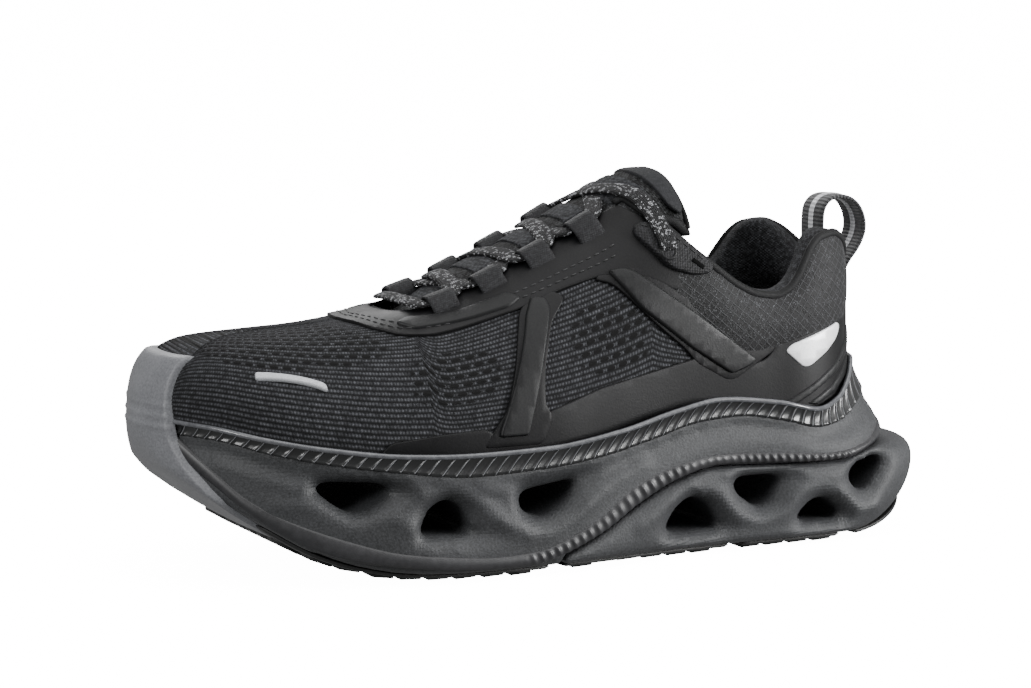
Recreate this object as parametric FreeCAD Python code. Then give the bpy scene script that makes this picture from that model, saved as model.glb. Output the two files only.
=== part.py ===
import FreeCAD, Part
import math
import os

# Left running shoe with a tall, pierced foam sole. Millimetres.
# The toe points to -X, the outer (lateral) side to -Y, and the floor is Z = 0.
# The origin is under the middle of the shoe's box.

Vector = FreeCAD.Vector

# ---------------------------------------------------------------- driving sizes
SHOE_LENGTH = 306.0        # toe bumper to the back of the heel wedge
TABLE_LENGTH = 306.0       # the tables below are for a shoe this long
LONG = SHOE_LENGTH / TABLE_LENGTH
SOLE_WIDTH = 114.0         # across the ball
TOE_BULGE = 0.4            # the outline rounds this far past its toe point
FOAM_HEEL_X = 139.0        # back of the full-length foam
RUBBER = 3.5               # outsole thickness
RUBBER_INSET = 5.0         # outsole edge, in from the foam's wall
GLUE = 0.15                # gap left for glue between layers
CUP_DEPTH = 8.0            # how far the upper sits down in the foam's cup
BOARD = 1.2                # lasting board
INSOLE = 3.8               # insole foam under its top cloth
INSOLE_CLOTH = 0.7
RIM_TRIM = 1.0             # the rim is this much lower beside the upper, clear of the overlays
RIM_BAND = 1.2             # ribbed band that is bonded round the foam's rim
MESH = 1.5                 # knitted upper
LINING = 1.0
COLLAR_PAD = 6.0           # foam round the ankle
STIFFENER = 1.0            # heel counter and toe puff
FILM = 0.8                 # bonded overlays
STRUT = 1.3                # raised bars on the overlays
BUMPER = 2.6               # rubber over the toe
SEAM = 0.3                 # gap between parts that lie edge to edge, or that move
THROAT_HALF = 17.0         # half the width of the gap over the tongue
THROAT_FRONT = -62.0
COLLAR_FRONT = 42.0        # where the ankle padding starts
TONGUE_PAD = 4.4
TONGUE_CLOTH = 0.8
TONGUE_HALF = 22.0
TONGUE_BASE = -70.0        # the tongue is sewn on here
TONGUE_SINK = 4.4          # tongue's face below the upper's face
LACE_R = 1.6
LOOP_SLACK = 0.4           # round the lace in its loops
EYELET_SLACK = 0.8         # and in its eyelets
EYELET_DEPTH = 5.0         # the free end starts this far behind the face
LOOP_WALL = 0.9
LOOP_LENGTH = 9.0
LOOP_Y = 18.0
LOOP_SHARE = 0.4           # the loops stand on the face this far from the ridge to the edge
LACE_TURN = 2.6            # from a loop's end to the corner of the lace
LACE_CROSSING = 2.1        # each run passes this far over or under the middle of a crossing
WEBBING = 1.6              # pull loop's thickness
WEBBING_WIDTH = 15.0
AGLET_R = 2.0
AGLET_LENGTH = 18.0

# The upper's shape: at each x, the outer edge, the ridge and the inner edge across, then the ridge's height.
STATIONS = [
    (-147.0, -3.0, 10.0, 23.0, 68.0),
    (-143.0, -13.0, 10.0, 31.0, 76.0),
    (-135.0, -24.0, 9.0, 39.0, 81.0),
    (-120.0, -36.0, 7.0, 45.0, 84.0),
    (-100.0, -44.0, 4.0, 48.0, 85.5),
    (-75.0, -48.5, 1.0, 49.0, 88.5),
    (-50.0, -50.0, 0.0, 47.0, 93.0),
    (-20.0, -49.0, 0.0, 43.0, 106.0),
    (10.0, -45.0, 0.0, 38.5, 120.0),
    (40.0, -41.0, 0.0, 36.5, 139.0),
    (65.0, -39.0, 0.0, 36.0, 147.0),
    (90.0, -37.5, 0.0, 35.5, 150.0),
    (105.0, -33.0, 0.0, 32.0, 151.0),
    (114.0, -26.0, 0.0, 25.5, 151.0),
    (119.5, -16.0, 0.0, 16.0, 150.0),
    (122.0, -7.0, 0.0, 7.0, 149.0),
]
ROUNDNESS = 2.4            # 2 is an ellipse, more is boxier
LEAN_TOE = 4.2             # a deep layer leaves out ends narrower than this many times its depth

# Half outlines of the sole at the ball's width, toe to heel, as (x, y).
SOLE_LATERAL = [(-138, -22), (-120, -40), (-100, -49), (-75, -55), (-50, -57), (-20, -56),
                (10, -52), (40, -48), (70, -46), (100, -45)]
SOLE_MEDIAL = [(100, 44), (70, 43), (40, 41), (10, 44), (-20, 50), (-50, 56), (-75, 57),
               (-100, 54), (-120, 48), (-138, 36)]

# Side curves of the sole, as (x, z).
RIM = [(-160, 58.5), (-136, 56), (-120, 52.5), (-100, 49), (-75, 46), (-50, 45), (-20, 45.5),
       (10, 49), (35, 54.5), (52, 57), (77, 54.5), (97, 50.5), (110, 53), (120, 59), (130, 66), (160, 72)]
BAND_BOTTOM = [(-160, 53), (-136, 51.5), (-120, 47.5), (-100, 43.5), (-76, 40), (-50, 37), (-20, 38),
               (1, 40), (24, 44.5), (44, 49), (61, 50), (78, 47.5), (97, 43.5), (110, 45), (120, 49),
               (130, 53), (160, 58)]
TREAD_LINE = [(-160, 60), (-152, 49), (-145, 38), (-136, 30), (-127, 23.5), (-117, 17), (-104, 9.5),
              (-90, 4.5), (-72, 1.2), (-52, 0), (113, 0), (122, 1), (133, 4), (146, 11), (160, 22)]
WEDGE_FRONT = -14.0        # the heel wedge starts here, under the full-length foam
PARTING = [(-14, 6.5), (0, 12), (17, 21), (35, 29), (52, 32.5), (77, 31.5), (107, 31), (125, 33.5),
           (160, 37)]
TREAD_PADS = {"tread_forefoot": (-120.5, -18.0), "tread_midfoot": (-13.0, 59.0),
              "tread_heel": (64.0, 107.0), "tread_heel_bevel": (113.0, 144.0)}
BUMPER_SIDE = [(-162, 18), (-122, 14), (-126, 27), (-134, 45), (-138, 60), (-140, 79), (-162, 79)]
BUMPER_LATERAL = -24.0     # the bumper's edges across the toe
BUMPER_MEDIAL = 35.0

# Windows through the foam, as corners in side view.
FOAM_WINDOWS = {
    "forefoot_front": [(-104, 37), (-78, 36), (-81, 30), (-88, 26), (-96, 29)],
    "forefoot_low": [(-69, 16), (-66, 26), (-60, 30), (-52, 26), (-48, 16)],
    "forefoot_back": [(-31, 29), (-4, 33), (-13, 24), (-24, 20)],
}
WEDGE_WINDOWS = {
    "heel_low_front": [(30, 9), (33, 18), (41, 22), (49, 19), (56, 9)],
    "heel_high_front": [(60, 26.5), (82, 26.5), (77, 17), (69, 15)],
    "heel_low_back": [(86, 7), (89, 14), (96, 17.5), (103, 14), (109, 7)],
    "heel_high_back": [(110, 24), (127, 28), (122, 20), (116, 17)],
}
WINDOW_ROUND = 2.5

# Outlines on the upper in side view.
COLLAR = [(30, 124), (46, 110), (56, 102.5), (66, 96), (76, 92.5), (83, 93), (90, 97.5), (96, 105),
          (103, 111.5), (112, 114), (124, 114)]
BINDING = 3.0              # width of the bound edge round the collar
COLLAR_PAD_RISE = 18.0     # the ankle padding starts this far over the foam's rim
COLLAR_LINING_RISE = 5.0   # and its lining this far
QUARTER_ZONE = [(14, 135), (20, 104), (62, 66), (66, 30), (150, 30), (150, 160), (14, 160)]
LOWER_OVERLAY = [(-82, 30), (-78, 52), (-59, 54), (-37, 51), (-22, 54), (4, 64), (43, 71), (60, 66), (72, 68),
                 (72, 30)]
FRONT_BAR = [(-18, 96), (-12, 94), (-17, 79), (-23, 60), (-26, 51), (-38, 51), (-29, 71), (-23, 88)]
REAR_BAR = [(11, 104), (21, 104), (48, 86), (71, 70), (68, 65), (60, 65), (43, 76), (23, 91)]
EYELET_PATCH = [(24, 116), (34, 121), (50, 108), (55, 102), (49, 97), (36, 103)]
EYELET_X = 36.0
EYELET_SHARE = 0.82        # of the way from the ridge to the edge
HEEL_OVERLAY = [(75, 30), (75, 75), (90, 79), (115, 84), (150, 87), (150, 30)]
HEEL_STRIPES = [[(82, 56), (95, 62), (110, 71), (116, 76), (117, 71), (108, 64), (90, 54)],
                [(96, 54), (108, 60), (117, 67), (118, 62), (112, 56)]]
REFLECTOR = [(83, 71), (86, 75), (109, 81), (110, 77), (102, 71), (94, 66), (88, 67)]

# Starts of the lace loops along the throat, and the pull loop in side view.
LOOP_STARTS = [-51.0, -33.0, -14.5, 4.5]
PULL_LOOP = [(117, 115.5), (117, 121), (121, 125), (129, 125), (134, 120), (136, 113), (133, 106), (127, 100)]

# The lace's free end inside the shoe, as (x, distance from the middle, z).
LACE_END = [(35.3, 27.3, 95.5), (34, 29.3, 87), (31.5, 31, 77), (28, 32, 66.5), (21, 31.5, 58), (11, 30, 52.9),
            (-1, 26.5, 50.3), (-15, 24, 48.3), (-29, 25, 47.1), (-43, 27.5, 46.8), (-57, 26, 47.1),
            (-71, 21.5, 48.0), (-84, 18, 49.3)]
MEDIAL_NARROW = 0.9        # the inner side of the shoe is this much narrower


# ---------------------------------------------------------------- helpers
def side(x, z):
    return Vector(x * LONG, 0, z)


def plan(x, y):
    return Vector(x * LONG, y, 0)


def smooth(points, closed=False):
    """A smooth edge through the points."""
    curve = Part.BSplineCurve()
    curve.interpolate(points, PeriodicFlag=closed)
    return curve.toShape()


def rounded(corners, radius, closed=True):
    """A wire through the corners with tangent arcs, each no larger than its two runs allow."""
    count = len(corners)
    turned = range(count) if closed else range(1, count - 1)
    edges, start = [], corners[0]
    arcs = {}
    for i in turned:
        corner = corners[i]
        into = (corners[i - 1] - corner)
        ahead = (corners[(i + 1) % count] - corner)
        half = into.getAngle(ahead) / 2
        reach = min(radius / math.tan(half), 0.45 * into.Length, 0.45 * ahead.Length)
        u, v = into / into.Length, ahead / ahead.Length
        bisector = (u + v) / (u + v).Length
        middle = corner + bisector * (reach / math.cos(half) - reach * math.tan(half))
        arcs[i] = (corner + u * reach, middle, corner + v * reach, reach * math.tan(half))
    if closed:
        start = arcs[count - 1][2]
    for i in turned:
        first, middle, last, _ = arcs[i]
        edges.append(Part.LineSegment(start, first).toShape())
        edges.append(Part.Arc(first, middle, last).toShape())
        start = last
    if not closed:
        edges.append(Part.LineSegment(start, corners[-1]).toShape())
    return Part.Wire(edges), [arc[3] for arc in arcs.values()]


def along_y(outline, low=-90.0, high=90.0):
    """A closed side outline, pushed across the shoe."""
    face = Part.Face(outline)
    face.translate(Vector(0, low, 0))
    return face.extrude(Vector(0, high - low, 0))


def along_z(outline, low=-20.0, high=220.0):
    """A closed plan outline, pushed up."""
    face = Part.Face(outline)
    face.translate(Vector(0, 0, low))
    return face.extrude(Vector(0, 0, high - low))


def side_prism(points, radius=0.0, low=-90.0, high=90.0):
    corners = [side(x, z) for x, z in points]
    outline = rounded(corners, radius)[0] if radius else Part.makePolygon(corners + corners[:1])
    return along_y(outline, low, high)


def plan_prism(points, radius=0.0):
    corners = [plan(x, y) for x, y in points]
    outline = rounded(corners, radius)[0] if radius else Part.makePolygon(corners + corners[:1])
    return along_z(outline)


def height(curve, x):
    """The curve's height at x, in straight steps between its points."""
    for (x0, z0), (x1, z1) in zip(curve, curve[1:]):
        if x <= x1:
            return z0 + max(0.0, (x - x0) / (x1 - x0)) * (z1 - z0)
    return curve[-1][1]


def clipped(curve, x_from, x_to, lift=0.0):
    """The curve's points between two x, with its ends at them."""
    inner = [p for p in curve if x_from < p[0] < x_to]
    ends = [(x_from, height(curve, x_from))], [(x_to, height(curve, x_to))]
    return [(x, z + lift) for x, z in ends[0] + inner + ends[1]]


def between(lower, upper):
    """A block across the shoe between two side curves with the same ends in x."""
    corners = [side(x, z) for x, z in lower + upper[::-1]]
    return along_y(Part.makePolygon(corners + corners[:1]))


def on_face(x, share, hand):
    """The point of the upper's face at x, that share of the way from the ridge to the edge.

    hand is -1 on the outer side and 1 on the inner side.
    """
    for low, high in zip(STATIONS, STATIONS[1:]):
        if x <= high[0]:
            part = (x - low[0]) / (high[0] - low[0])
            lateral, ridge, medial, top = [a + part * (b - a) for a, b in zip(low[1:], high[1:])]
            edge = lateral if hand < 0 else medial
            rim = height(RIM, x)
            rise = (top - rim) * (1 - share ** ROUNDNESS) ** (1 / ROUNDNESS)
            return Vector(x * LONG, ridge + share * (edge - ridge), rim + rise)


def sole_block(heel_x, inset=0.0):
    """A tall block with the sole's plan. Its back is at heel_x, and inset brings its wall in."""
    widen = SOLE_WIDTH / 114.0
    toe = [(-TABLE_LENGTH / 2 + BUMPER + TOE_BULGE + inset, 9.0)]
    heel = [(heel_x - 8 - inset, 0.8 * inset - 27), (heel_x - inset, 0), (heel_x - 8 - inset, 27 - 0.8 * inset)]
    lateral = [(x, y * widen + inset) for x, y in SOLE_LATERAL]
    medial = [(x, y * widen - inset) for x, y in SOLE_MEDIAL]
    points = [plan(x, y) for x, y in toe + lateral + heel + medial]
    return along_z(Part.Wire([smooth(points, closed=True)]))


def upper_block(grow, sink):
    """The volume inside the upper's face, grown by that much, down to sink below the foam's rim."""
    front, back = STATIONS[0][0], STATIONS[-1][0]
    stretch = (back - front + 2 * grow) / (back - front)
    sections = []
    for x, lateral, ridge, medial, top in STATIONS:
        if medial - lateral < -LEAN_TOE * grow:
            continue
        place = front - grow + (x - front) * stretch
        rim = height(RIM, place)
        points = [Vector(place * LONG, lateral - grow, rim - sink)]
        for step in range(13):
            turn = math.pi * step / 12
            reach = abs(math.cos(turn)) ** (2 / ROUNDNESS)
            edge = lateral - grow if step < 7 else medial + grow
            points.append(Vector(place * LONG, ridge + (edge - ridge) * reach,
                                 rim + (top + grow - rim) * math.sin(turn) ** (2 / ROUNDNESS)))
        points.append(Vector(place * LONG, medial + grow, rim - sink))
        sections.append(Part.Wire([smooth(points), Part.makeLine(points[-1], points[0])]))
    return Part.makeLoft(sections, True, False)


made_blocks = {}


def block(grow, sink=CUP_DEPTH + 10):
    """upper_block, made once for each size."""
    key = (round(grow, 3), sink)
    if key not in made_blocks:
        made_blocks[key] = upper_block(grow, sink)
    return made_blocks[key]


def above(lift):
    """Everything from lift over the foam's rim line upwards."""
    line = clipped(RIM, RIM[0][0], RIM[-1][0], lift)
    return between(line, [(x, 170) for x, _ in line])


def skin(low, high, lift):
    """A layer of the upper between two distances from its face, from lift over the foam's rim upwards."""
    return block(high).cut(block(low, CUP_DEPTH + 16)).common(above(lift))


def slab(inset, low, high):
    """A flat layer in the foam's cup, between two heights over the cup's floor."""
    lines = [clipped(RIM, RIM[0][0], RIM[-1][0], h - CUP_DEPTH) for h in (low, high)]
    return block(-inset).common(between(*lines))


def tube(points, radius, bend):
    """A round cord along straight runs joined by tangent arcs."""
    path, radii = rounded(points, bend, closed=False)
    profile = Part.Wire([Part.makeCircle(radius, points[0], points[1] - points[0])])
    solid = path.makePipeShell([profile], True, False)
    share = solid.Volume / (math.pi * radius ** 2 * path.Length)
    print(f"cord radius {radius}: length {path.Length:.1f}, bends {min(radii):.1f} to {max(radii):.1f}, "
          f"volume over section times length {share:.3f}")
    return solid


def save(name, shape, smallest=3.0):
    """Writes the node, without crumbs under that many cubic millimetres."""
    kept = [s for s in shape.Solids if s.Volume > smallest]
    if not kept:
        raise ValueError(f"{name} is empty")
    result = kept[0] if len(kept) == 1 else Part.makeCompound(kept)
    if not result.isValid():
        print("not valid:", name)
    result.exportStep(f"parts/{name}.step")
    box = result.optimalBoundingBox()
    print(f"{name:24s} solids {len(kept)}  volume {result.Volume:8.0f}  x {box.XMin:.1f} {box.XMax:.1f}"
          f"  y {box.YMin:.1f} {box.YMax:.1f}  z {box.ZMin:.1f} {box.ZMax:.1f}")
    return result


# ---------------------------------------------------------------- sole
def make_sole():
    front, back = -TABLE_LENGTH / 2, TABLE_LENGTH / 2
    tread_top = RUBBER + GLUE
    foam_block = sole_block(FOAM_HEEL_X)
    cup = block(GLUE).common(above(-CUP_DEPTH))
    trim = block(FILM + STRUT + 3 * GLUE).common(above(-RIM_TRIM))
    ends = (front - 6, back + 6)
    foam = foam_block.common(between(clipped(TREAD_LINE, *ends, tread_top), clipped(RIM, *ends)))
    foam = foam.cut(cup).cut(trim)
    foam = foam.cut(between(clipped(TREAD_LINE, WEDGE_FRONT, ends[1], -10), clipped(PARTING, WEDGE_FRONT, ends[1])))
    for corners in FOAM_WINDOWS.values():
        foam = foam.cut(side_prism(corners, WINDOW_ROUND))
    band_line = clipped(BAND_BOTTOM, *ends)
    high_line = [(x, 120.0) for x, _ in band_line]
    band_zone = between(band_line, high_line)
    ring = foam_block.cut(sole_block(FOAM_HEEL_X, RIM_BAND))
    seat = foam_block.cut(sole_block(FOAM_HEEL_X, RIM_BAND + GLUE))
    save("rim_band", foam.common(ring).common(between([(x, z + GLUE) for x, z in band_line], high_line)))
    save("midsole", foam.cut(seat.common(band_zone)))

    wedge_top = clipped(PARTING, WEDGE_FRONT + GLUE, ends[1], -GLUE)
    wedge_low = clipped(TREAD_LINE, WEDGE_FRONT + GLUE, ends[1], tread_top)
    wedge = sole_block(back).common(between(wedge_low, wedge_top))
    for corners in WEDGE_WINDOWS.values():
        wedge = wedge.cut(side_prism(corners, WINDOW_ROUND))
    save("heel_wedge", wedge)

    tread_plan = sole_block(back, RUBBER_INSET)
    for name, (x_from, x_to) in TREAD_PADS.items():
        low = clipped(TREAD_LINE, x_from, x_to)
        pad = tread_plan.common(between(low, [(x, z + RUBBER) for x, z in low]))
        save(name, pad)


def make_bumper():
    """Rubber wrapped from under the toe of the foam to the top of the toe."""
    window = side_prism(BUMPER_SIDE, 3.0, -40, 60)
    low = clipped(TREAD_LINE, -160, -100, RUBBER + GLUE)
    high = clipped(RIM, -160, -100)
    out, near = BUMPER, SEAM
    outer = sole_block(FOAM_HEEL_X, -out).common(between([(x, z - out) for x, z in low], high))
    outer = outer.fuse(block(out).common(above(0)).common(window))
    inner = sole_block(FOAM_HEEL_X, -near).common(
        between([(x, z - near) for x, z in low], [(x, z + near) for x, z in high]))
    shell = outer.cut(inner).cut(block(near))
    ends = plan_prism([(-170, BUMPER_LATERAL), (-100, BUMPER_LATERAL), (-100, BUMPER_MEDIAL),
                       (-170, BUMPER_MEDIAL)])
    save("toe_bumper", shell.common(window).common(ends))


# ---------------------------------------------------------------- upper
def openings():
    """The throat over the tongue and the mouth round the ankle, as one block to cut away."""
    front, half = THROAT_FRONT, THROAT_HALF
    throat = plan_prism([(front, -half + 6), (front + 6, -half), (45, -half), (45, half), (front + 6, half),
                         (front, half - 6)], 5.0)
    mouth = side_prism([(26, 132)] + COLLAR + [(150, 114), (150, 210), (26, 210)])
    return throat.fuse(mouth)


def make_inside(gap):
    floor = GLUE
    lining_face = MESH + STIFFENER + 2 * SEAM
    for name, thick in (("lasting_board", BOARD), ("insole", INSOLE), ("insole_cloth", INSOLE_CLOTH)):
        save(name, slab(lining_face + LINING + SEAM, floor, floor + thick))
        floor += thick + GLUE
    stiff_low, stiff_high = -(MESH + SEAM + STIFFENER), -(MESH + SEAM)
    stiff = skin(stiff_low, stiff_high, GLUE - CUP_DEPTH)
    save("toe_puff", stiff.common(side_prism([(-160, 20), (-116, 20), (-120, 95), (-160, 95)])))
    save("heel_counter", stiff.common(side_prism([(72, 20), (150, 20), (150, 96), (104, 94), (84, 74)])))
    front_zone = side_prism([(-160, 20), (COLLAR_FRONT, 20), (COLLAR_FRONT, 150), (-160, 150)])
    lining = skin(-(lining_face + LINING), -lining_face, GLUE - CUP_DEPTH)
    save("vamp_lining", lining.common(front_zone).cut(gap))
    pad_face = lining_face + COLLAR_PAD
    back_zone = side_prism([(COLLAR_FRONT + SEAM, 20), (150, 20), (150, 150), (COLLAR_FRONT + SEAM, 150)])
    for name, low, high, rise in (
            ("collar_foam", -pad_face, -lining_face, COLLAR_PAD_RISE),
            ("collar_lining", -(pad_face + SEAM + LINING), -(pad_face + SEAM), COLLAR_LINING_RISE)):
        save(name, skin(low, high, rise).common(back_zone).cut(gap))


def make_upper():
    gap = openings()
    shell = skin(-MESH, 0.0, GLUE - CUP_DEPTH)
    quarter = side_prism(QUARTER_ZONE)
    holes = eyelet_holes()
    save("vamp_mesh", shell.cut(gap).cut(side_prism([(x - SEAM, z) for x, z in QUARTER_ZONE[:3]]
                                                    + QUARTER_ZONE[3:])).cut(holes))
    save("quarter_fabric", shell.common(quarter).cut(gap).cut(holes))
    make_inside(gap.fuse(holes))

    film = skin(GLUE, FILM, 0.0)
    second = skin(FILM + GLUE, FILM + GLUE + STRUT, 0.0)
    stay = plan_prism([(-80, -10), (-74, -24), (-64, -31), (-40, -33), (-10, -33), (16, -29), (16, 29),
                       (-10, 32), (-40, 33), (-64, 31), (-74, 24), (-80, 10)], 4.0)
    save("eyestay", film.common(stay).cut(gap))
    for side_name, low, high in (("lateral", -90, 0), ("medial", 0, 90)):
        save(f"lower_overlay_{side_name}", film.common(side_prism(LOWER_OVERLAY, 3.0, low, high)))
        save(f"front_bar_{side_name}", second.common(side_prism(FRONT_BAR, 2.0, low, high)).cut(gap))
        save(f"rear_bar_{side_name}", second.common(side_prism(REAR_BAR, 2.0, low, high)).cut(gap))
        patch = film.common(side_prism(EYELET_PATCH, 3.0, low, high)).cut(gap).cut(holes)
        save(f"eyelet_patch_{side_name}", patch)
        stripes = [second.common(side_prism(stripe, 1.5, low, high)) for stripe in HEEL_STRIPES]
        save(f"heel_stripes_{side_name}", Part.makeCompound([s for one in stripes for s in one.Solids]))
        save(f"reflector_{side_name}", second.common(side_prism(REFLECTOR, 1.5, low, high)))
    save("heel_overlay", film.common(side_prism(HEEL_OVERLAY, 2.0)))
    edge = [(x, z - BINDING) for x, z in reversed(COLLAR[2:])]
    rim = side_prism(COLLAR[2:] + [(150, 114), (150, 114 - BINDING)] + edge)
    save("collar_binding", film.common(rim).cut(gap))
    bar = plan_prism([(-119, -27), (-98, -36.5), (-97, -39.5), (-120, -29.5)])
    save("reflective_bar", film.common(bar))


def eyelet_holes():
    """Bores through the top of the quarters, square to the upper's face."""
    bores = []
    for hand in (-1, 1):
        place, out = eyelet(hand)
        bores.append(Part.makeCylinder(LACE_R + EYELET_SLACK, 20, place - out * 12, out))
    return bores[0].fuse(bores[1])


# ---------------------------------------------------------------- tongue, laces and loops
def make_tongue():
    half, base = TONGUE_HALF, TONGUE_BASE
    top_half = half - 5.5
    strip = plan_prism([(base, -half + 8), (base + 10, -half), (30, -half), (42, -top_half), (70, -top_half),
                        (70, top_half), (42, top_half), (30, half), (base + 10, half), (base, half - 8)])
    length = side_prism([(base, 60), (38, 80), (52, 106), (60, 118), (50, 134), (40, 160), (base, 160)], 6.0)
    zone = strip.common(length)
    depth = TONGUE_SINK
    layers = (("tongue_cloth", TONGUE_CLOTH), ("tongue_pad", TONGUE_PAD), ("tongue_lining", TONGUE_CLOTH))
    for name, thick in layers:
        save(name, skin(-(depth + thick), -depth, 0.0).common(zone))
        depth += thick + GLUE
    face = skin(GLUE - TONGUE_SINK, GLUE - TONGUE_SINK + FILM, 0.0)
    save("tongue_patch", face.common(plan_prism([(27, -13), (50, -13), (50, 13), (27, 13)], 3.0)).common(length))
    save("tongue_band", face.common(plan_prism([(-3, -13), (3, -13), (3, 13), (-3, 13)])))


def loop_line(start, hand):
    """A lace loop's centre line, resting on the eyestay."""
    over = FILM + 4 * SEAM + LACE_R + LOOP_SLACK + LOOP_WALL
    ends = [on_face(x, LOOP_SHARE, -1) for x in (start, start + LOOP_LENGTH)]
    return [Vector(p.x, hand * LOOP_Y, p.z + over) for p in ends]


def eyelet(hand):
    """Where an eyelet is on the face, and the way out of it."""
    out = Vector(0, 0.75 * hand, 0.66)
    return on_face(EYELET_X, EYELET_SHARE, hand), out / out.Length


def lace_rows(hand, crossing):
    """Half of the laced rows, from the middle of the front bar to the eyelet on that hand.

    Its crossings are lifted by that much.
    """
    rows = []
    for row, start in enumerate(LOOP_STARTS):
        first, last = loop_line(start, hand if row % 2 == 0 else -hand)
        along = (last - first) / LOOP_LENGTH * LACE_TURN
        rows.append((first - along, last + along))
    front = rows[0][0]
    route = [Vector(front.x - 1, 0, front.z + 0.8), Vector(front.x - 0.5, hand * LOOP_Y / 2, front.z + 0.5)]
    for row, (enter, leave) in enumerate(rows):
        route += [enter, leave]
        if row + 1 < len(rows):
            after = rows[row + 1][0]
            for share in (0.3, 0.7):
                route.append(leave + (after - leave) * share + Vector(0, 0, crossing))
    place, out = eyelet(hand)
    route.append(on_face(22.5, 0, hand) + Vector(0, 0, LACE_R + crossing))
    route.append(on_face(30, 0.5, hand) + Vector(0, 0, 5.0))
    route.append(on_face(34, 0.75, hand) + Vector(0, 0, 6.5))
    return route + [place + out * 5.2, place - out * EYELET_DEPTH]


def lace_end(hand):
    """The lace's free end inside the shoe, from behind its eyelet to the toe."""
    place, out = eyelet(hand)
    narrow = 1.0 if hand < 0 else MEDIAL_NARROW
    inside = [Vector(x * LONG, y * hand * narrow, z) for x, y, z in LACE_END]
    return [place - out * EYELET_DEPTH, place - out * (EYELET_DEPTH + 3)] + inside


def make_laces():
    bore = LACE_R + LOOP_SLACK
    laces = []
    for name, hand in (("lateral", -1), ("medial", 1)):
        loops = []
        for start in LOOP_STARTS:
            first, last = loop_line(start, hand)
            way = last - first
            wall = Part.makeCylinder(bore + LOOP_WALL, way.Length, first, way)
            loops.append(wall.cut(Part.makeCylinder(bore, way.Length, first, way)))
        save(f"lace_loops_{name}", Part.makeCompound(loops))
        laces.append(tube(lace_rows(hand, -hand * LACE_CROSSING), LACE_R, LACE_TURN))
        end = lace_end(hand)
        save(f"lace_end_{name}", tube(end, LACE_R, 200.0))
        save(f"aglet_{name}", Part.makeCylinder(AGLET_R, AGLET_LENGTH, end[-1], end[-1] - end[-2]))
    save("lace", Part.makeCompound(laces))


def make_pull_loop():
    """Webbing in a loop over the heel, closed at its top."""
    path, _ = rounded([side(x, z) for x, z in PULL_LOOP], 5.0, closed=False)
    middle = path.makeOffset2D(WEBBING / 2, openResult=True, fill=False)
    inner = path.makeOffset2D(-WEBBING / 2, openResult=True, fill=False)
    ends = [Part.makeLine(middle.OrderedVertexes[i].Point, inner.OrderedVertexes[i].Point) for i in (0, -1)]
    outline = Part.Wire(Part.__sortEdges__(middle.Edges + inner.Edges + ends))
    save("pull_loop", along_y(outline, -WEBBING_WIDTH / 2, WEBBING_WIDTH / 2))


os.makedirs("parts", exist_ok=True)
make_sole()
make_bumper()
make_upper()
make_tongue()
make_laces()
make_pull_loop()
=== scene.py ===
import bpy
import bmesh
import math
import numpy as np
from mathutils import Matrix, Vector


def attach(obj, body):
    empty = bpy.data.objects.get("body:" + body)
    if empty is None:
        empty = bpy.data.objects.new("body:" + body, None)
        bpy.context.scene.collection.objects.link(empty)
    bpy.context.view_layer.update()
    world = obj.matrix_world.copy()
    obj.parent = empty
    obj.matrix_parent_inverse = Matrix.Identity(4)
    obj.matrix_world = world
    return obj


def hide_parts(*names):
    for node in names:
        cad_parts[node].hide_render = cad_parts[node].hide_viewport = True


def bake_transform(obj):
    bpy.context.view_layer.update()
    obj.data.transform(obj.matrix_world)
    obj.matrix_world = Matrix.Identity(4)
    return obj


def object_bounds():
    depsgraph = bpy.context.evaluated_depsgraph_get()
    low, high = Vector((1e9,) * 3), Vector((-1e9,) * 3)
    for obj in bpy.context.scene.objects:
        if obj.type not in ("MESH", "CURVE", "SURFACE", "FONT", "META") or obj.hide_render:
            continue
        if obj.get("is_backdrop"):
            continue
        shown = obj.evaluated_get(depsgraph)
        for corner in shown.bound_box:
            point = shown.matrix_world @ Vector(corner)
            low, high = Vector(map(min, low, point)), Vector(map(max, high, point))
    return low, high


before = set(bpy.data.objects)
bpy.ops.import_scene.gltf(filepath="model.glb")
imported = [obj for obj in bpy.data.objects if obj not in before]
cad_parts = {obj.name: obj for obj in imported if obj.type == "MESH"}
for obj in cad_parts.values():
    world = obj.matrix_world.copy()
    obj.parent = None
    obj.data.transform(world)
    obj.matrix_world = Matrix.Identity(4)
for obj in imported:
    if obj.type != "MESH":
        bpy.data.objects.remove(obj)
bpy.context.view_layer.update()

# Left running shoe. Lengths are in millimetres until a piece is finished, which turns them to metres.
# The toe points to -X, the outer side to -Y, and the floor is Z = 0.
mm = 0.001
farAway = 99.0                               # a distance that no spot on a piece reaches
sides = (("lateral", -1), ("medial", 1))     # the outer side and the inner side, with the sign of Y

view = {"place": (-510.9, -1078.8, 227.6), "aim": (-7.83, 0.0, 75.15), "lens": 114.75}
cameraData = bpy.data.cameras.new("camera")
cameraData.sensor_width = 36
cameraData.lens = view["lens"]
camera = bpy.data.objects.new("camera", cameraData)
camera.location = Vector(view["place"]) * mm
camera.rotation_euler = (Vector(view["aim"]) - Vector(view["place"])).to_track_quat("-Z", "Y").to_euler()
bpy.context.collection.objects.link(camera)
bpy.context.scene.camera = camera

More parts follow.
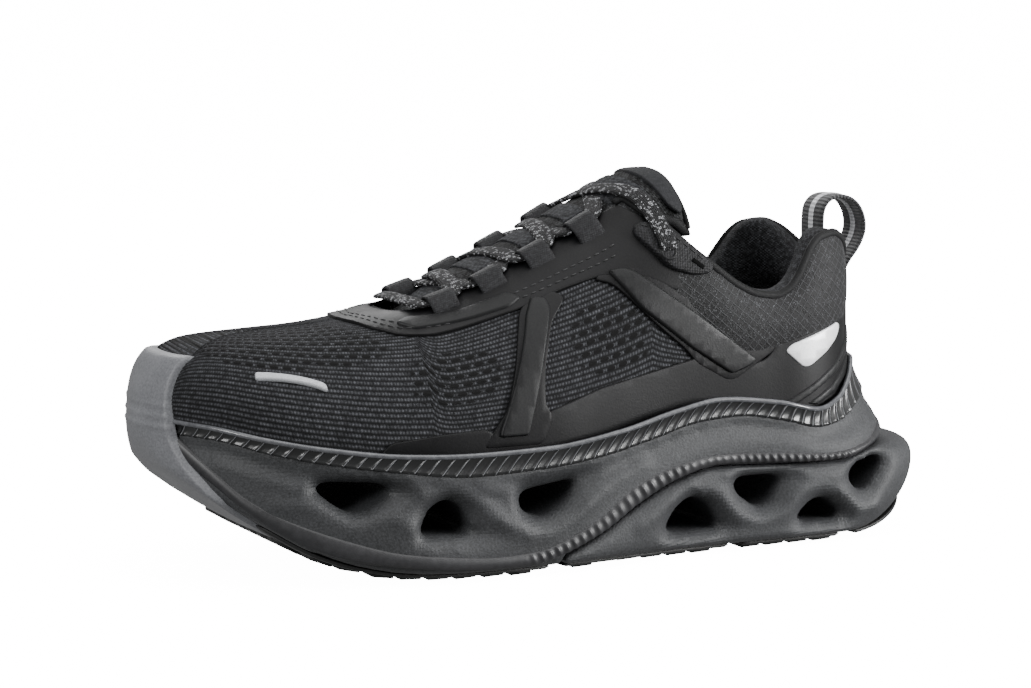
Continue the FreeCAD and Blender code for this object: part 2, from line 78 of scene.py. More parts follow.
studio = {
    "world": 0.50,
    "floor": "#f6f6f6",
    "floorGlow": 16.0,      # the sheet under the shoe is lit from below, as on a light table
    "sky": {"from": (0.20, -0.30, 1.0), "strength": 3.8, "spread": 75.0},
    # name: place, aim, size, power in watts
    "lamps": {
        "toeLamp": ((-1.10, -0.45, 0.55), (-0.08, 0.0, 0.06), 0.40, 11.0),
        "heelLamp": ((0.85, -0.60, 0.22), (0.10, 0.0, 0.03), 0.35, 20.0),
        "backLamp": ((0.10, 1.10, 0.85), (0.0, 0.0, 0.06), 0.60, 7.0),
    },
}


def linear(hexColour, alpha=1.0):
    channels = [int(hexColour[i:i + 2], 16) / 255 for i in (1, 3, 5)]
    return [c / 12.92 if c <= 0.04045 else ((c + 0.055) / 1.055) ** 2.4 for c in channels] + [alpha]


world = bpy.data.worlds.new("studioAir")
world.use_nodes = True
world.node_tree.nodes["Background"].inputs["Color"].default_value = (1, 1, 1, 1)
world.node_tree.nodes["Background"].inputs["Strength"].default_value = studio["world"]
bpy.context.scene.world = world
for name, (place, aim, size, power) in studio["lamps"].items():
    lampData = bpy.data.lights.new(name, "AREA")
    lampData.shape = "DISK"
    lampData.size = size
    lampData.energy = power
    lamp = bpy.data.objects.new(name, lampData)
    lamp.location = place
    lamp.rotation_euler = (Vector(aim) - Vector(place)).to_track_quat("-Z", "Y").to_euler()
    bpy.context.collection.objects.link(lamp)
skyData = bpy.data.lights.new("softTop", "SUN")
skyData.energy = studio["sky"]["strength"]
skyData.angle = math.radians(studio["sky"]["spread"])
sky = bpy.data.objects.new("softTop", skyData)
sky.rotation_euler = (-Vector(studio["sky"]["from"])).to_track_quat("-Z", "Y").to_euler()
bpy.context.collection.objects.link(sky)
print("camera and lamps ready")


# materials
def addNode(tree, kind, inputs=None, **settings):
    node = tree.nodes.new(kind)
    for key, value in settings.items():
        setattr(node, key, value)
    for socket, value in (inputs or {}).items():
        if isinstance(value, bpy.types.NodeSocket):
            tree.links.new(value, node.inputs[socket])
        else:
            node.inputs[socket].default_value = value
    return node


def newMaterial(name, **sockets):
    material = bpy.data.materials.new(name)
    material.use_nodes = True
    tree = material.node_tree
    shader = tree.nodes["Principled BSDF"]
    for socket, value in sockets.items():
        shader.inputs[socket.replace("_", " ")].default_value = value
    return material, tree, shader


def calc(tree, operation, *values):
    return addNode(tree, "ShaderNodeMath", dict(enumerate(values)), operation=operation).outputs[0]


def finishMaterial(tree, shader, colour=None, height=None, depth=0.1, strength=1.0, rough=None):
    # height runs from 0 to 1 and depth is what 1 stands for in millimetres
    if colour is not None:
        tree.links.new(colour, shader.inputs["Base Color"])
    if rough is not None:
        tree.links.new(rough, shader.inputs["Roughness"])
    if height is not None:
        bump = addNode(tree, "ShaderNodeBump", {"Height": height, "Strength": strength, "Distance": depth * mm})
        tree.links.new(bump.outputs[0], shader.inputs["Normal"])


def blendColour(tree, share, low, high):
    node = addNode(tree, "ShaderNodeMix", {"Factor": share}, data_type="RGBA")
    for index, value in ((6, low), (7, high)):
        if isinstance(value, str):
            node.inputs[index].default_value = linear(value)
        else:
            tree.links.new(value, node.inputs[index])
    return node.outputs[2]


def grainy(name, dark, light, grain, depth, rough, patch=9.0, strength=1.0, **sockets):
    # moulded or cast stuff: grain in millimetres, with slow patches of lighter and darker colour
    material, tree, shader = newMaterial(name, Roughness=rough, **sockets)
    where = addNode(tree, "ShaderNodeTexCoord").outputs["Object"]
    fine = addNode(tree, "ShaderNodeTexNoise", {"Vector": where, "Scale": 1000 / grain,
                                                "Detail": 3.0}).outputs[0]
    slow = addNode(tree, "ShaderNodeTexNoise", {"Vector": where, "Scale": 1000 / patch,
                                                "Detail": 2.0}).outputs[0]
    share = calc(tree, "ADD", calc(tree, "MULTIPLY", fine, 0.7), calc(tree, "MULTIPLY", slow, 0.3))
    wide = addNode(tree, "ShaderNodeMapRange", {0: share, 1: 0.35, 2: 0.65}).outputs[0]
    roughness = addNode(tree, "ShaderNodeMapRange", {0: slow, 1: 0.3, 2: 0.7, 3: rough - 0.06, 4: rough + 0.06})
    finishMaterial(tree, shader, blendColour(tree, wide, dark, light), fine, depth, strength,
                   roughness.outputs[0])
    return material


def clothMaterial(name, dark, light, thread, depth, rough=0.85, angle=0.0, twill=0.0):
    # plain weave or fine knit on Object coordinates: thread spacing in millimetres
    material, tree, shader = newMaterial(name, Roughness=rough, Specular_IOR_Level=0.2)
    where = addNode(tree, "ShaderNodeTexCoord").outputs["Object"]
    turned = addNode(tree, "ShaderNodeMapping", {"Vector": where, "Rotation": (0, math.radians(angle), 0)})
    parts = addNode(tree, "ShaderNodeSeparateXYZ", {0: turned.outputs[0]}).outputs
    step = 2 * math.pi / (thread * mm)
    across = calc(tree, "SINE", calc(tree, "MULTIPLY", parts[0], step))
    slide = calc(tree, "MULTIPLY", parts[0], step * twill)
    along = calc(tree, "SINE", calc(tree, "ADD", calc(tree, "MULTIPLY", parts[2], step), slide))
    deep = calc(tree, "SINE", calc(tree, "MULTIPLY", parts[1], step))
    weave = calc(tree, "MULTIPLY", calc(tree, "ADD", across, deep), along)
    height = addNode(tree, "ShaderNodeMapRange", {0: weave, 1: -1.2, 2: 1.2}).outputs[0]
    fleck = addNode(tree, "ShaderNodeTexNoise", {"Vector": where, "Scale": 1000 / (thread * 1.3),
                                                 "Detail": 2.0})
    fleck = addNode(tree, "ShaderNodeMapRange", {0: fleck.outputs[0], 1: 0.4, 2: 0.62}).outputs[0]
    share = calc(tree, "MULTIPLY", height, fleck)
    finishMaterial(tree, shader, blendColour(tree, share, dark, light), height, depth)
    return material


def knitMaterial():
    # polyester engineered mesh, black yarn with a grey heather thread:
    # the rib crests are painted lighter as a painted highlight, the gaps and openings painted black as painted
    # shade
    material, tree, shader = newMaterial("engineeredKnit", Roughness=0.9, Specular_IOR_Level=0.2)
    flat = addNode(tree, "ShaderNodeUVMap", uv_map="cloth").outputs[0]
    parts = addNode(tree, "ShaderNodeSeparateXYZ", {0: flat}).outputs
    u, v = parts[0], parts[1]           # u in millimetres along a rib, v counts ribs
    rib = addNode(tree, "ShaderNodeMapRange", {0: calc(tree, "COSINE", calc(tree, "MULTIPLY", v, 2 * math.pi)),
                                               1: -1.0, 2: 1.0}).outputs[0]
    shift = calc(tree, "MULTIPLY", calc(tree, "FLOOR", calc(tree, "ADD", v, 0.5)), 0.5)
    stitch = calc(tree, "SINE", calc(tree, "MULTIPLY", calc(tree, "ADD", calc(tree, "DIVIDE", u, 1.25), shift),
                                     2 * math.pi))
    stitch = addNode(tree, "ShaderNodeMapRange", {0: stitch, 1: -1.0, 2: 1.0}).outputs[0]
    where = addNode(tree, "ShaderNodeTexCoord").outputs["Object"]
    heather = addNode(tree, "ShaderNodeTexNoise", {"Vector": where, "Scale": 620.0, "Detail": 3.0}).outputs[0]
    heather = addNode(tree, "ShaderNodeMapRange", {0: heather, 1: 0.36, 2: 0.66, 3: 0.25}).outputs[0]
    row = calc(tree, "FLOOR", calc(tree, "MULTIPLY", v, 0.5))
    odd = calc(tree, "MULTIPLY", calc(tree, "MODULO", row, 2.0), 0.5)
    cellU = calc(tree, "SUBTRACT", calc(tree, "FRACT", calc(tree, "ADD", calc(tree, "DIVIDE", u, 5.2), odd)),
                 0.5)
    cellV = calc(tree, "SUBTRACT", calc(tree, "FRACT", calc(tree, "MULTIPLY", v, 0.5)), 0.5)
    ring = calc(tree, "ADD", calc(tree, "POWER", calc(tree, "ABSOLUTE", calc(tree, "DIVIDE", cellU, 0.36)),
                                  2.0),
                calc(tree, "POWER", calc(tree, "ABSOLUTE", calc(tree, "DIVIDE", cellV, 0.24)), 2.0))
    hole = addNode(tree, "ShaderNodeMapRange", {0: ring, 1: 1.25, 2: 0.7},
                   interpolation_type="SMOOTHSTEP").outputs[0]
    zone = addNode(tree, "ShaderNodeAttribute", attribute_name="pierced",
                   attribute_type="GEOMETRY").outputs["Fac"]
    hole = calc(tree, "MULTIPLY", hole, zone)
    yarn = calc(tree, "MULTIPLY", rib, calc(tree, "ADD", calc(tree, "MULTIPLY", stitch, 0.6), 0.4))
    share = calc(tree, "MULTIPLY", yarn, heather)
    # painted highlight: the grey rises with the rib crest, times the heather thread, and the troughs fall to
    # black as painted shade
    colour = blendColour(tree, share, "#060607", "#48494d")
    # painted shade: the knit's openings are painted black
    colour = blendColour(tree, hole, colour, "#010101")
    height = calc(tree, "MULTIPLY", yarn, calc(tree, "SUBTRACT", 1.0, hole))
    finishMaterial(tree, shader, colour, height, 0.45)
    return material


def ripstopMaterial():
    # nylon ripstop over a padded collar: a black plain weave with thin grey doubled threads on the bias
    material, tree, shader = newMaterial("ripstopNylon", Roughness=0.7, Specular_IOR_Level=0.3)
    where = addNode(tree, "ShaderNodeTexCoord").outputs["Object"]
    parts = addNode(tree, "ShaderNodeSeparateXYZ", {0: where}).outputs
    lines = []
    for across, along in ((0.72, 0.9), (-0.95, 0.75)):
        run = calc(tree, "ADD", calc(tree, "MULTIPLY", parts[0], across),
                   calc(tree, "MULTIPLY", parts[2], along))
        cell = calc(tree, "FRACT", calc(tree, "DIVIDE", run, 0.0031))
        off = calc(tree, "ABSOLUTE", calc(tree, "SUBTRACT", cell, 0.5))
        lines.append(addNode(tree, "ShaderNodeMapRange", {0: off, 1: 0.075, 2: 0.02},
                             interpolation_type="SMOOTHSTEP").outputs[0])
    grid = calc(tree, "MAXIMUM", lines[0], lines[1])
    grain = addNode(tree, "ShaderNodeTexVoronoi", {"Vector": where, "Scale": 1150.0}).outputs["Distance"]
    knot = addNode(tree, "ShaderNodeMapRange", {0: grain, 1: 0.45, 2: 0.15}).outputs[0]
    patchy = addNode(tree, "ShaderNodeTexNoise", {"Vector": where, "Scale": 420.0, "Detail": 2.0}).outputs[0]
    fleck = addNode(tree, "ShaderNodeMapRange", {0: patchy, 1: 0.45, 2: 0.68}).outputs[0]
    colour = blendColour(tree, calc(tree, "MULTIPLY", knot, fleck), "#060607", "#4b4c4f")
    colour = blendColour(tree, calc(tree, "MULTIPLY", grid, 0.5), colour, "#434446")
    height = calc(tree, "ADD", calc(tree, "MULTIPLY", knot, 0.6), calc(tree, "MULTIPLY", grid, 0.7))
    finishMaterial(tree, shader, colour, height, 0.22)
    return material


def ribbedMaterial(name, dark, light, pitch, depth, rough, axis=0):
    # woven tape with ribs across it, on its own UV map in millimetres
    material, tree, shader = newMaterial(name, Roughness=rough, Sheen_Weight=0.2)
    flat = addNode(tree, "ShaderNodeUVMap", uv_map="cloth").outputs[0]
    parts = addNode(tree, "ShaderNodeSeparateXYZ", {0: flat}).outputs
    wave = calc(tree, "SINE", calc(tree, "MULTIPLY", parts[axis], 2 * math.pi / pitch))
    cross = calc(tree, "SINE", calc(tree, "MULTIPLY", parts[1 - axis], 2 * math.pi / (pitch * 0.6)))
    woven = calc(tree, "ADD", wave, calc(tree, "MULTIPLY", cross, 0.3))
    height = addNode(tree, "ShaderNodeMapRange", {0: woven, 1: -1.3, 2: 1.3}).outputs[0]
    finishMaterial(tree, shader, blendColour(tree, height, dark, light), height, depth)
    return material


def bandMaterial():
    # the rim's EVA skin, moulded glossy: a dark band whose thin raised lines are painted lighter, a painted
    # highlight on the ribs
    material, tree, shader = newMaterial("glossyFoamBand", Roughness=0.32)
    where = addNode(tree, "ShaderNodeTexCoord").outputs["Object"]
    cloud = addNode(tree, "ShaderNodeTexNoise", {"Vector": where, "Scale": 90.0, "Detail": 3.0}).outputs[0]
    raised = addNode(tree, "ShaderNodeAttribute", attribute_name="pierced",
                     attribute_type="GEOMETRY").outputs["Fac"]
    # painted highlight: the raised ribs are painted a lighter grey, driven by the rib height stored in the
    # 'pierced' attribute
    ribPaintedHighlight = addNode(tree, "ShaderNodeMapRange", {0: raised, 1: 0.45, 2: 1.0},
                   interpolation_type="SMOOTHSTEP").outputs[0]
    colour = blendColour(tree, ribPaintedHighlight, blendColour(tree, cloud, "#08090a", "#0f1011"), "#5c5d60")
    fine = addNode(tree, "ShaderNodeTexNoise", {"Vector": where, "Scale": 1100.0, "Detail": 2.0}).outputs[0]
    finishMaterial(tree, shader, colour, fine, 0.04)
    return material


def laceMaterial():
    # braided polyester lace, black with silver-grey carrier threads: a light fleck every few stitches
    material, tree, shader = newMaterial("braidedLace", Roughness=0.75, Specular_IOR_Level=0.3)
    flat = addNode(tree, "ShaderNodeUVMap", uv_map="cloth").outputs[0]
    parts = addNode(tree, "ShaderNodeSeparateXYZ", {0: flat}).outputs
    left = calc(tree, "SINE", calc(tree, "MULTIPLY", calc(tree, "ADD", parts[0], parts[1]), 2 * math.pi / 1.5))
    right = calc(tree, "SINE", calc(tree, "MULTIPLY", calc(tree, "SUBTRACT", parts[0], parts[1]),
                                    2 * math.pi / 1.5))
    crossed = calc(tree, "MULTIPLY", left, right)
    braid = addNode(tree, "ShaderNodeMapRange", {0: crossed, 1: -0.8, 2: 0.8}).outputs[0]
    where = addNode(tree, "ShaderNodeTexCoord").outputs["Object"]
    spots = addNode(tree, "ShaderNodeTexVoronoi", {"Vector": where, "Scale": 1150.0}).outputs["Color"]
    spots = addNode(tree, "ShaderNodeSeparateXYZ", {0: spots}).outputs[0]
    fleck = addNode(tree, "ShaderNodeMapRange", {0: spots, 1: 0.76, 2: 0.84}).outputs[0]
    colour = blendColour(tree, calc(tree, "MULTIPLY", braid, fleck), "#08080a", "#97989b")
    finishMaterial(tree, shader, colour, braid, 0.3)
    return material


look = {
    # injection-moulded EVA foam: dark grey, matt, with a fine orange-peel skin
    "foam": grainy("mouldedEvaFoam", "#1b1c1d", "#303133", 0.8, 0.16, 0.6, 60.0, 0.8, Specular_IOR_Level=0.35),
    # the same foam pressed smooth: darker, with a soft sheen
    "foamBand": grainy("satinFoamSkin", "#18181a", "#242426", 2.2, 0.05, 0.48, 22.0, Specular_IOR_Level=0.4),
    # glossy black foam skin with a painted highlight on its ribs
    "ribBand": bandMaterial(),
    # glossy foam lip in a lighter grey than the foam: a painted highlight, the thin bright line along the rim
    "lip": grainy("glossyFoamLipPaintedHighlight", "#393a3d", "#505154", 2.0, 0.03, 0.25, 20.0),
    # carbon rubber: near black, slightly pebbled
    "rubber": grainy("carbonRubber", "#0a0a0b", "#151515", 0.9, 0.10, 0.6, 10.0, Specular_IOR_Level=0.35),
    # grey moulded rubber with a pebbled face: the palest dark part
    "toeRubber": grainy("pebbledRubber", "#505154", "#636467", 0.8, 0.14, 0.5, 12.0, Specular_IOR_Level=0.4),
    # hot-melted TPU film: smooth and black, with only a faint sheen
    "film": grainy("thermoplasticFilm", "#070708", "#0d0d0e", 0.6, 0.05, 0.48, 18.0, Specular_IOR_Level=0.15),
    # thicker moulded TPU: a touch lighter, so the bars stand out
    "filmRaised": grainy("mouldedFilmBar", "#08080a", "#0f1010", 0.7, 0.05, 0.5, 18.0, Specular_IOR_Level=0.2),
    # glass-bead reflective film: silver white and even
    "reflector": grainy("silverReflectiveFilm", "#c9cacc", "#e4e4e6", 0.5, 0.02, 0.35, 12.0, Metallic=0.1),
    # printed reflective film: mid grey, a little metallic
    "reflectorBar": grainy("greyReflectiveFilm", "#86888b", "#a8aaad", 0.5, 0.02, 0.35, 12.0, Metallic=0.2),
    # pressed felt board under the foot: dull and fibrous
    "board": grainy("lastingBoardFelt", "#272826", "#3b3c38", 0.8, 0.10, 0.95),
    # thermoplastic sheet inside heel and toe: plain grey
    "stiffener": grainy("stiffenerSheet", "#37373a", "#48484b", 0.7, 0.05, 0.6),
    # open-cell polyurethane: black and porous
    "softFoam": grainy("openCellFoam", "#0c0c0d", "#1b1b1c", 0.9, 0.30, 0.95),
    # cellulose acetate tube: glossy black
    "aglet": grainy("agletAcetate", "#050505", "#0c0c0c", 1.5, 0.02, 0.2),
    # bonded polyester thread: dull black dashes
    "thread": grainy("polyesterThread", "#020203", "#101113", 0.4, 0.08, 0.6),
    # engineered knit: see its function
    "knit": knitMaterial(),
    "ripstop": ripstopMaterial(),
    # brushed tricot lining: soft dark grey
    "lining": clothMaterial("liningTricot", "#0e0e10", "#38393c", 1.1, 0.12),
    # open mesh over the insole: black
    "insoleCloth": clothMaterial("insoleMesh", "#040405", "#151618", 1.3, 0.15),
    # spacer mesh: open cells, so it looks rough and grey-black
    "tongueMesh": clothMaterial("tongueSpacerMesh", "#030303", "#343536", 1.5, 0.30, twill=0.5),
    # dense woven polyester: a lighter band with a fine twill
    "tongueWoven": clothMaterial("wovenTongueBand", "#101113", "#404144", 0.9, 0.12, twill=1.0),
    # microfibre: smooth and even
    "tongueTip": clothMaterial("smoothTongueTip", "#141517", "#222225", 0.8, 0.05, rough=0.7),
    # corded tape, the ribs too fine to count
    "tab": clothMaterial("cordedTabTape", "#0d0d0f", "#232426", 0.9, 0.10, rough=0.6, angle=30),
    # ribbed microfibre on the eyelets
    "eyeletPatch": clothMaterial("ribbedEyeletPatch", "#0c0c0d", "#202023", 1.4, 0.16, rough=0.6, angle=38),
    # folded nylon tape: a dark matt edge
    "binding": clothMaterial("boundEdgeTape", "#020203", "#0c0d0e", 0.7, 0.06, rough=0.65),
    # grosgrain webbing of nylon: cross ribs 1.5 mm apart
    "webbing": ribbedMaterial("ribbedWebbing", "#050506", "#202125", 1.5, 0.35, 0.7, axis=0),
    # reflective yarn woven into the webbing: the light stripe
    "stripe": ribbedMaterial("reflectiveStripe", "#8d8e91", "#c4c5c8", 1.5, 0.15, 0.4, axis=0),
    "lace": laceMaterial(),
    # the same lace, seen only deep inside the shoe
    "laceEnd": clothMaterial("laceCord", "#050505", "#535455", 1.2, 0.2),
    # the shade inside a punched slot
    "hole": grainy("eyeletShadow", "#010101", "#020202", 1.0, 0.01, 0.9, Specular_IOR_Level=0.1),
}
print("materials ready:", len(look))


# shape helpers
def smoothCurve(pairs):
    # a smooth line through (x, value) pairs that never overshoots them
    xs, ys = (np.array(column, float) for column in zip(*pairs))
    gaps = np.diff(xs)
    slopes = np.diff(ys) / gaps
    turns = np.zeros_like(ys)
    both = slopes[:-1] * slopes[1:] > 0
    turns[1:-1][both] = 2 * slopes[:-1][both] * slopes[1:][both] / (slopes[:-1][both] + slopes[1:][both])
    turns[0], turns[-1] = slopes[0], slopes[-1]

    def at(x):
        x = np.clip(x, xs[0], xs[-1])
        i = np.clip(np.searchsorted(xs, x, side="right") - 1, 0, len(gaps) - 1)
        t = (x - xs[i]) / gaps[i]
        return ((1 + 2 * t) * (1 - t) ** 2 * ys[i] + t * (1 - t) ** 2 * gaps[i] * turns[i]
                + t * t * (3 - 2 * t) * ys[i + 1] + t * t * (t - 1) * gaps[i] * turns[i + 1])
    return at


def smoothStep(low, high, x):
    t = np.clip((x - low) / (high - low), 0, 1)
    return t * t * (3 - 2 * t)


def closedCurve(points, count):
    # a smooth closed line through the points, sampled evenly
    p = np.array(points, float)
    n = len(p)
    gap = np.linalg.norm(np.roll(p, -1, 0) - p, axis=1)
    system, right = np.zeros((n, n)), np.zeros_like(p)
    for i in range(n):
        before, after = gap[i - 1], gap[i]
        system[i, i - 1], system[i, i], system[i, (i + 1) % n] = after, 2 * (before + after), before
        right[i] = 3 * (after * (p[i] - p[i - 1]) / before + before * (p[(i + 1) % n] - p[i]) / after)
    turn = np.linalg.solve(system, right)
    fine = []
    for i in range(n):
        t = np.linspace(0, 1, 60, endpoint=False)[:, None]
        a, b = p[i], p[(i + 1) % n]
        fine.append((1 + 2 * t) * (1 - t) ** 2 * a + t * (1 - t) ** 2 * gap[i] * turn[i]
                    + t * t * (3 - 2 * t) * b + t * t * (t - 1) * gap[i] * turn[(i + 1) % n])
    return evenly(np.concatenate(fine + [p[:1]]), count + 1)[:-1]


def evenly(points, count):
    points = np.array(points, float)
    run = np.concatenate([[0], np.cumsum(np.linalg.norm(np.diff(points, axis=0), axis=1))])
    where = np.linspace(0, run[-1], count)
    return np.stack([np.interp(where, run, points[:, k]) for k in range(points.shape[1])], 1)


def roundedOutline(corners, radius, step=2.0):
    # closed outline with its corners rounded off, with a point every step or less
    corners = [np.array(c, float) for c in corners]
    points = []
    for i, corner in enumerate(corners):
        before, after = corners[i - 1], corners[(i + 1) % len(corners)]
        for share, other in ((0, before), (1, after)):
            reach = min(radius, 0.45 * np.linalg.norm(other - corner))
            end = corner + (other - corner) / np.linalg.norm(other - corner) * reach
            if share == 0:
                first = end
            else:
                last = end
        points += [(1 - t) ** 2 * first + 2 * t * (1 - t) * corner + t * t * last
                   for t in (0, 0.2, 0.4, 0.6, 0.8, 1)]
    dense = []
    for a, b in zip(points, points[1:] + points[:1]):
        pieces = max(1, math.ceil(np.linalg.norm(b - a) / step))
        dense += [a + (b - a) * k / pieces for k in range(pieces)]
    return dense


def segmentDistance(px, pz, a, b):
    ax, az, bx, bz = a[0], a[1], b[0], b[1]
    length = (bx - ax) ** 2 + (bz - az) ** 2
    t = np.clip(((px - ax) * (bx - ax) + (pz - az) * (bz - az)) / max(length, 1e-9), 0, 1)
    return np.hypot(px - ax - t * (bx - ax), pz - az - t * (bz - az)), t


def finishPiece(name, bm, material, body="shoe", turn=False):
    # bm is in millimetres
    for v in bm.verts:
        v.co *= mm
    if turn:
        bmesh.ops.reverse_faces(bm, faces=bm.faces[:])
    mesh = bpy.data.meshes.new(name)
    bm.to_mesh(mesh)
    bm.free()
    piece = bpy.data.objects.new(name, mesh)
    bpy.context.collection.objects.link(piece)
    mesh.materials.append(look[material])
    mesh.polygons.foreach_set("use_smooth", [True] * len(mesh.polygons))
    if body:
        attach(piece, body)
    return piece


def gridShape(columns, rows, place, uv=None, weight=None, merge=0.0):
    # a create_grid sheet with each vertex put where place(columnShare, rowShare) says
    bm = bmesh.new()
    bmesh.ops.create_grid(bm, x_segments=columns, y_segments=rows, size=1.0)
    flat = np.array([v.co[:2] for v in bm.verts])
    flat = (flat - flat.min(0)) / (flat.max(0) - flat.min(0))
    points = place(flat[:, 0], flat[:, 1])
    if uv is not None:
        cloth = bm.loops.layers.uv.new("cloth")
        pairs = uv(flat[:, 0], flat[:, 1], points)
        for face in bm.faces:
            for loop in face.loops:
                loop[cloth].uv = pairs[loop.vert.index]
    if weight is not None:
        layer = bm.verts.layers.float.new("pierced")
        values = weight(flat[:, 0], flat[:, 1], points)
        for v, value in zip(bm.verts, values):
            v[layer] = value
    for v, p in zip(bm.verts, points):
        v.co = p
    if merge:
        bmesh.ops.remove_doubles(bm, verts=bm.verts[:], dist=merge)
    return bm


def sweptShape(path, ring, normals, merge=0.0, uv=True, closed=False):
    # a ring of (across, up) points carried along a path; normals say which way is up
    path, ring, normals = np.array(path, float), np.array(ring, float), np.array(normals, float)
    ahead = np.gradient(path, axis=0)
    if closed:
        ahead[0] = ahead[-1] = path[1] - path[-2]
    ahead /= np.linalg.norm(ahead, axis=1)[:, None]
    across = np.cross(normals, ahead)
    across /= np.linalg.norm(across, axis=1)[:, None]
    up = np.cross(ahead, across)
    run = np.concatenate([[0], np.cumsum(np.linalg.norm(np.diff(path, axis=0), axis=1))])
    closedRing = np.vstack([ring, ring[:1]])
    round_ = np.concatenate([[0], np.cumsum(np.linalg.norm(np.diff(closedRing, axis=0), axis=1))])

    def place(c, r):
        i = np.rint(c * (len(path) - 1)).astype(int)
        j = np.rint(r * len(ring)).astype(int) % len(ring)
        return path[i] + across[i] * ring[j, :1] + up[i] * ring[j, 1:]

    def spread(c, r, points):
        i = np.rint(c * (len(path) - 1)).astype(int)
        j = np.rint(r * len(ring)).astype(int)
        return np.stack([run[i], round_[j]], 1)
    bm = gridShape(len(path) - 1, len(ring), place, spread if uv else None, merge=merge or 1e-4)
    if not closed:
        bmesh.ops.holes_fill(bm, edges=[e for e in bm.edges if e.is_boundary], sides=0)
    bmesh.ops.recalc_face_normals(bm, faces=bm.faces[:])
    return bm


def ellipseRing(width, height, count=16, power=2.0):
    turns = np.linspace(0, 2 * math.pi, count, endpoint=False)
    c, s = np.cos(turns), np.sin(turns)
    return np.stack([np.sign(c) * np.abs(c) ** (2 / power) * width / 2,
                     np.sign(s) * np.abs(s) ** (2 / power) * height / 2], 1)


def splineThrough(points, count, order=3):
    # a smooth open line near the points: the NURBS spline that has them as control points
    curve = bpy.data.curves.new("route", "CURVE")
    curve.dimensions = "3D"
    curve.resolution_u = 24
    spline = curve.splines.new("NURBS")
    spline.points.add(len(points) - 1)
    for point, place in zip(spline.points, points):
        point.co = (*place, 1.0)
    spline.order_u = order
    spline.use_endpoint_u = True
    carrier = bpy.data.objects.new("route", curve)
    mesh = bpy.data.meshes.new_from_object(carrier)
    line = evenly([v.co[:] for v in mesh.vertices], count)
    bpy.data.objects.remove(carrier)
    bpy.data.curves.remove(curve)
    bpy.data.meshes.remove(mesh)
    return line


# the upper's face, which every cloth and film piece follows
upper = {
    "roundness": 2.4,
    "outerHalf": [(-95, 47.8), (-75, 49.5), (-50, 50), (-20, 49), (10, 45), (40, 41), (65, 39), (85, 37.7),
                  (125, 37.5)],
    "innerHalf": [(-95, 44.5), (-75, 48), (-50, 47), (-20, 43), (10, 38.5), (40, 36.5), (65, 36),
                  (85, 35.7), (125, 35.5)],
    "ridge": [(-150, 10), (-143, 10), (-135, 9), (-120, 7), (-100, 4), (-75, 1), (-50, 0), (125, 0)],
    "top": [(-150, 60), (-148.5, 65), (-147, 69), (-143, 76.5), (-138, 80.5), (-128, 83.5), (-110, 85),
            (-90, 86.5), (-75, 88.5), (-50, 93.5), (-20, 106), (10, 121), (40, 139), (65, 147), (90, 150),
            (105, 151), (125, 151)],
    "rim": [(-160, 58.5), (-136, 56), (-120, 52.5), (-100, 49), (-75, 46), (-50, 45), (-20, 45.5), (10, 49),
            (35, 54.5), (52, 57), (77, 54.5), (97, 50.5), (110, 53), (120, 59), (130, 66), (160, 72)],
    "collar": [(20, 140), (24, 133), (30, 125.5), (35, 121), (46, 110.5), (55, 103.5), (65, 96.4),
               (73, 93.2), (80, 92.4), (86, 94.6), (90, 98.4), (94, 104.4), (97.5, 109.3), (102, 112.6),
               (109, 113.6), (114, 111.5), (118, 107.5), (121, 102.5), (122.4, 100.5), (126, 99.5)],
    "throatFront": -61.0,
    "throatHalf": 16.5,
}
outerHalf, innerHalf, ridgeY, topZ, rimZ, collarZ = (
    smoothCurve(upper[k]) for k in ("outerHalf", "innerHalf", "ridge", "top", "rim", "collar"))
power = upper["roundness"]
toeEnd, heelEnd = -148.6, 122.4


def halfWidth(x, hand):
    toe = np.clip((-95 - x) / 53.65, 0, 1)
    heel = np.clip((x - 85) / 37.45, 0, 1)
    wide = np.where(hand < 0, outerHalf(x), innerHalf(x))
    return wide * (1 - toe ** 2.2) ** (1 / 2.2) * (1 - heel ** 2.4) ** (1 / 2.4)


def outside(p):
    # how far past the face a point is: 0 on it
    x, y, z = p[:, 0], p[:, 1], p[:, 2]
    side = y - ridgeY(x)
    across = np.abs(side) / np.maximum(halfWidth(x, side), 0.5)
    return across ** power + (np.maximum(z - rimZ(x), 0) / np.maximum(topZ(x) - rimZ(x), 1)) ** power


def outward(p):
    grow = np.zeros_like(p)
    for axis in range(3):
        nudge = np.zeros(3)
        nudge[axis] = 0.4
        grow[:, axis] = outside(p + nudge) - outside(p - nudge)
    grow[:, 0] = np.where(p[:, 0] > 121.9, np.abs(grow[:, 0]) + 0.05, grow[:, 0])
    grow[:, 0] = np.where(p[:, 0] < -148.2, -np.abs(grow[:, 0]) - 0.05, grow[:, 0])
    return grow / np.maximum(np.linalg.norm(grow, axis=1), 1e-9)[:, None]


def onFace(x, angle, hand, lift=0.0):
    # angle runs from 0 at the rim to pi / 2 on the ridge
    hand = np.broadcast_to(hand, np.shape(x)).astype(float)
    c, s = np.maximum(np.cos(angle), 0), np.maximum(np.sin(angle), 0)
    y = ridgeY(x) + hand * halfWidth(x, hand) * c ** (2 / power)
    z = rimZ(x) + (topZ(x) - rimZ(x)) * s ** (2 / power)
    p = np.stack([x + 0 * y, y, z], 1)
    return p + outward(p) * np.reshape(lift, (-1, 1)) if np.any(lift) else p


def angleAtHeight(x, z):
    share = np.clip((z - rimZ(x)) / (topZ(x) - rimZ(x)), 0, 1)
    return np.arcsin(share ** (power / 2))


def angleAtSide(x, y, hand):
    share = np.clip(np.abs(y - ridgeY(x)) / np.maximum(halfWidth(x, hand), 1), 0, 1)
    return np.arccos(share ** (power / 2))


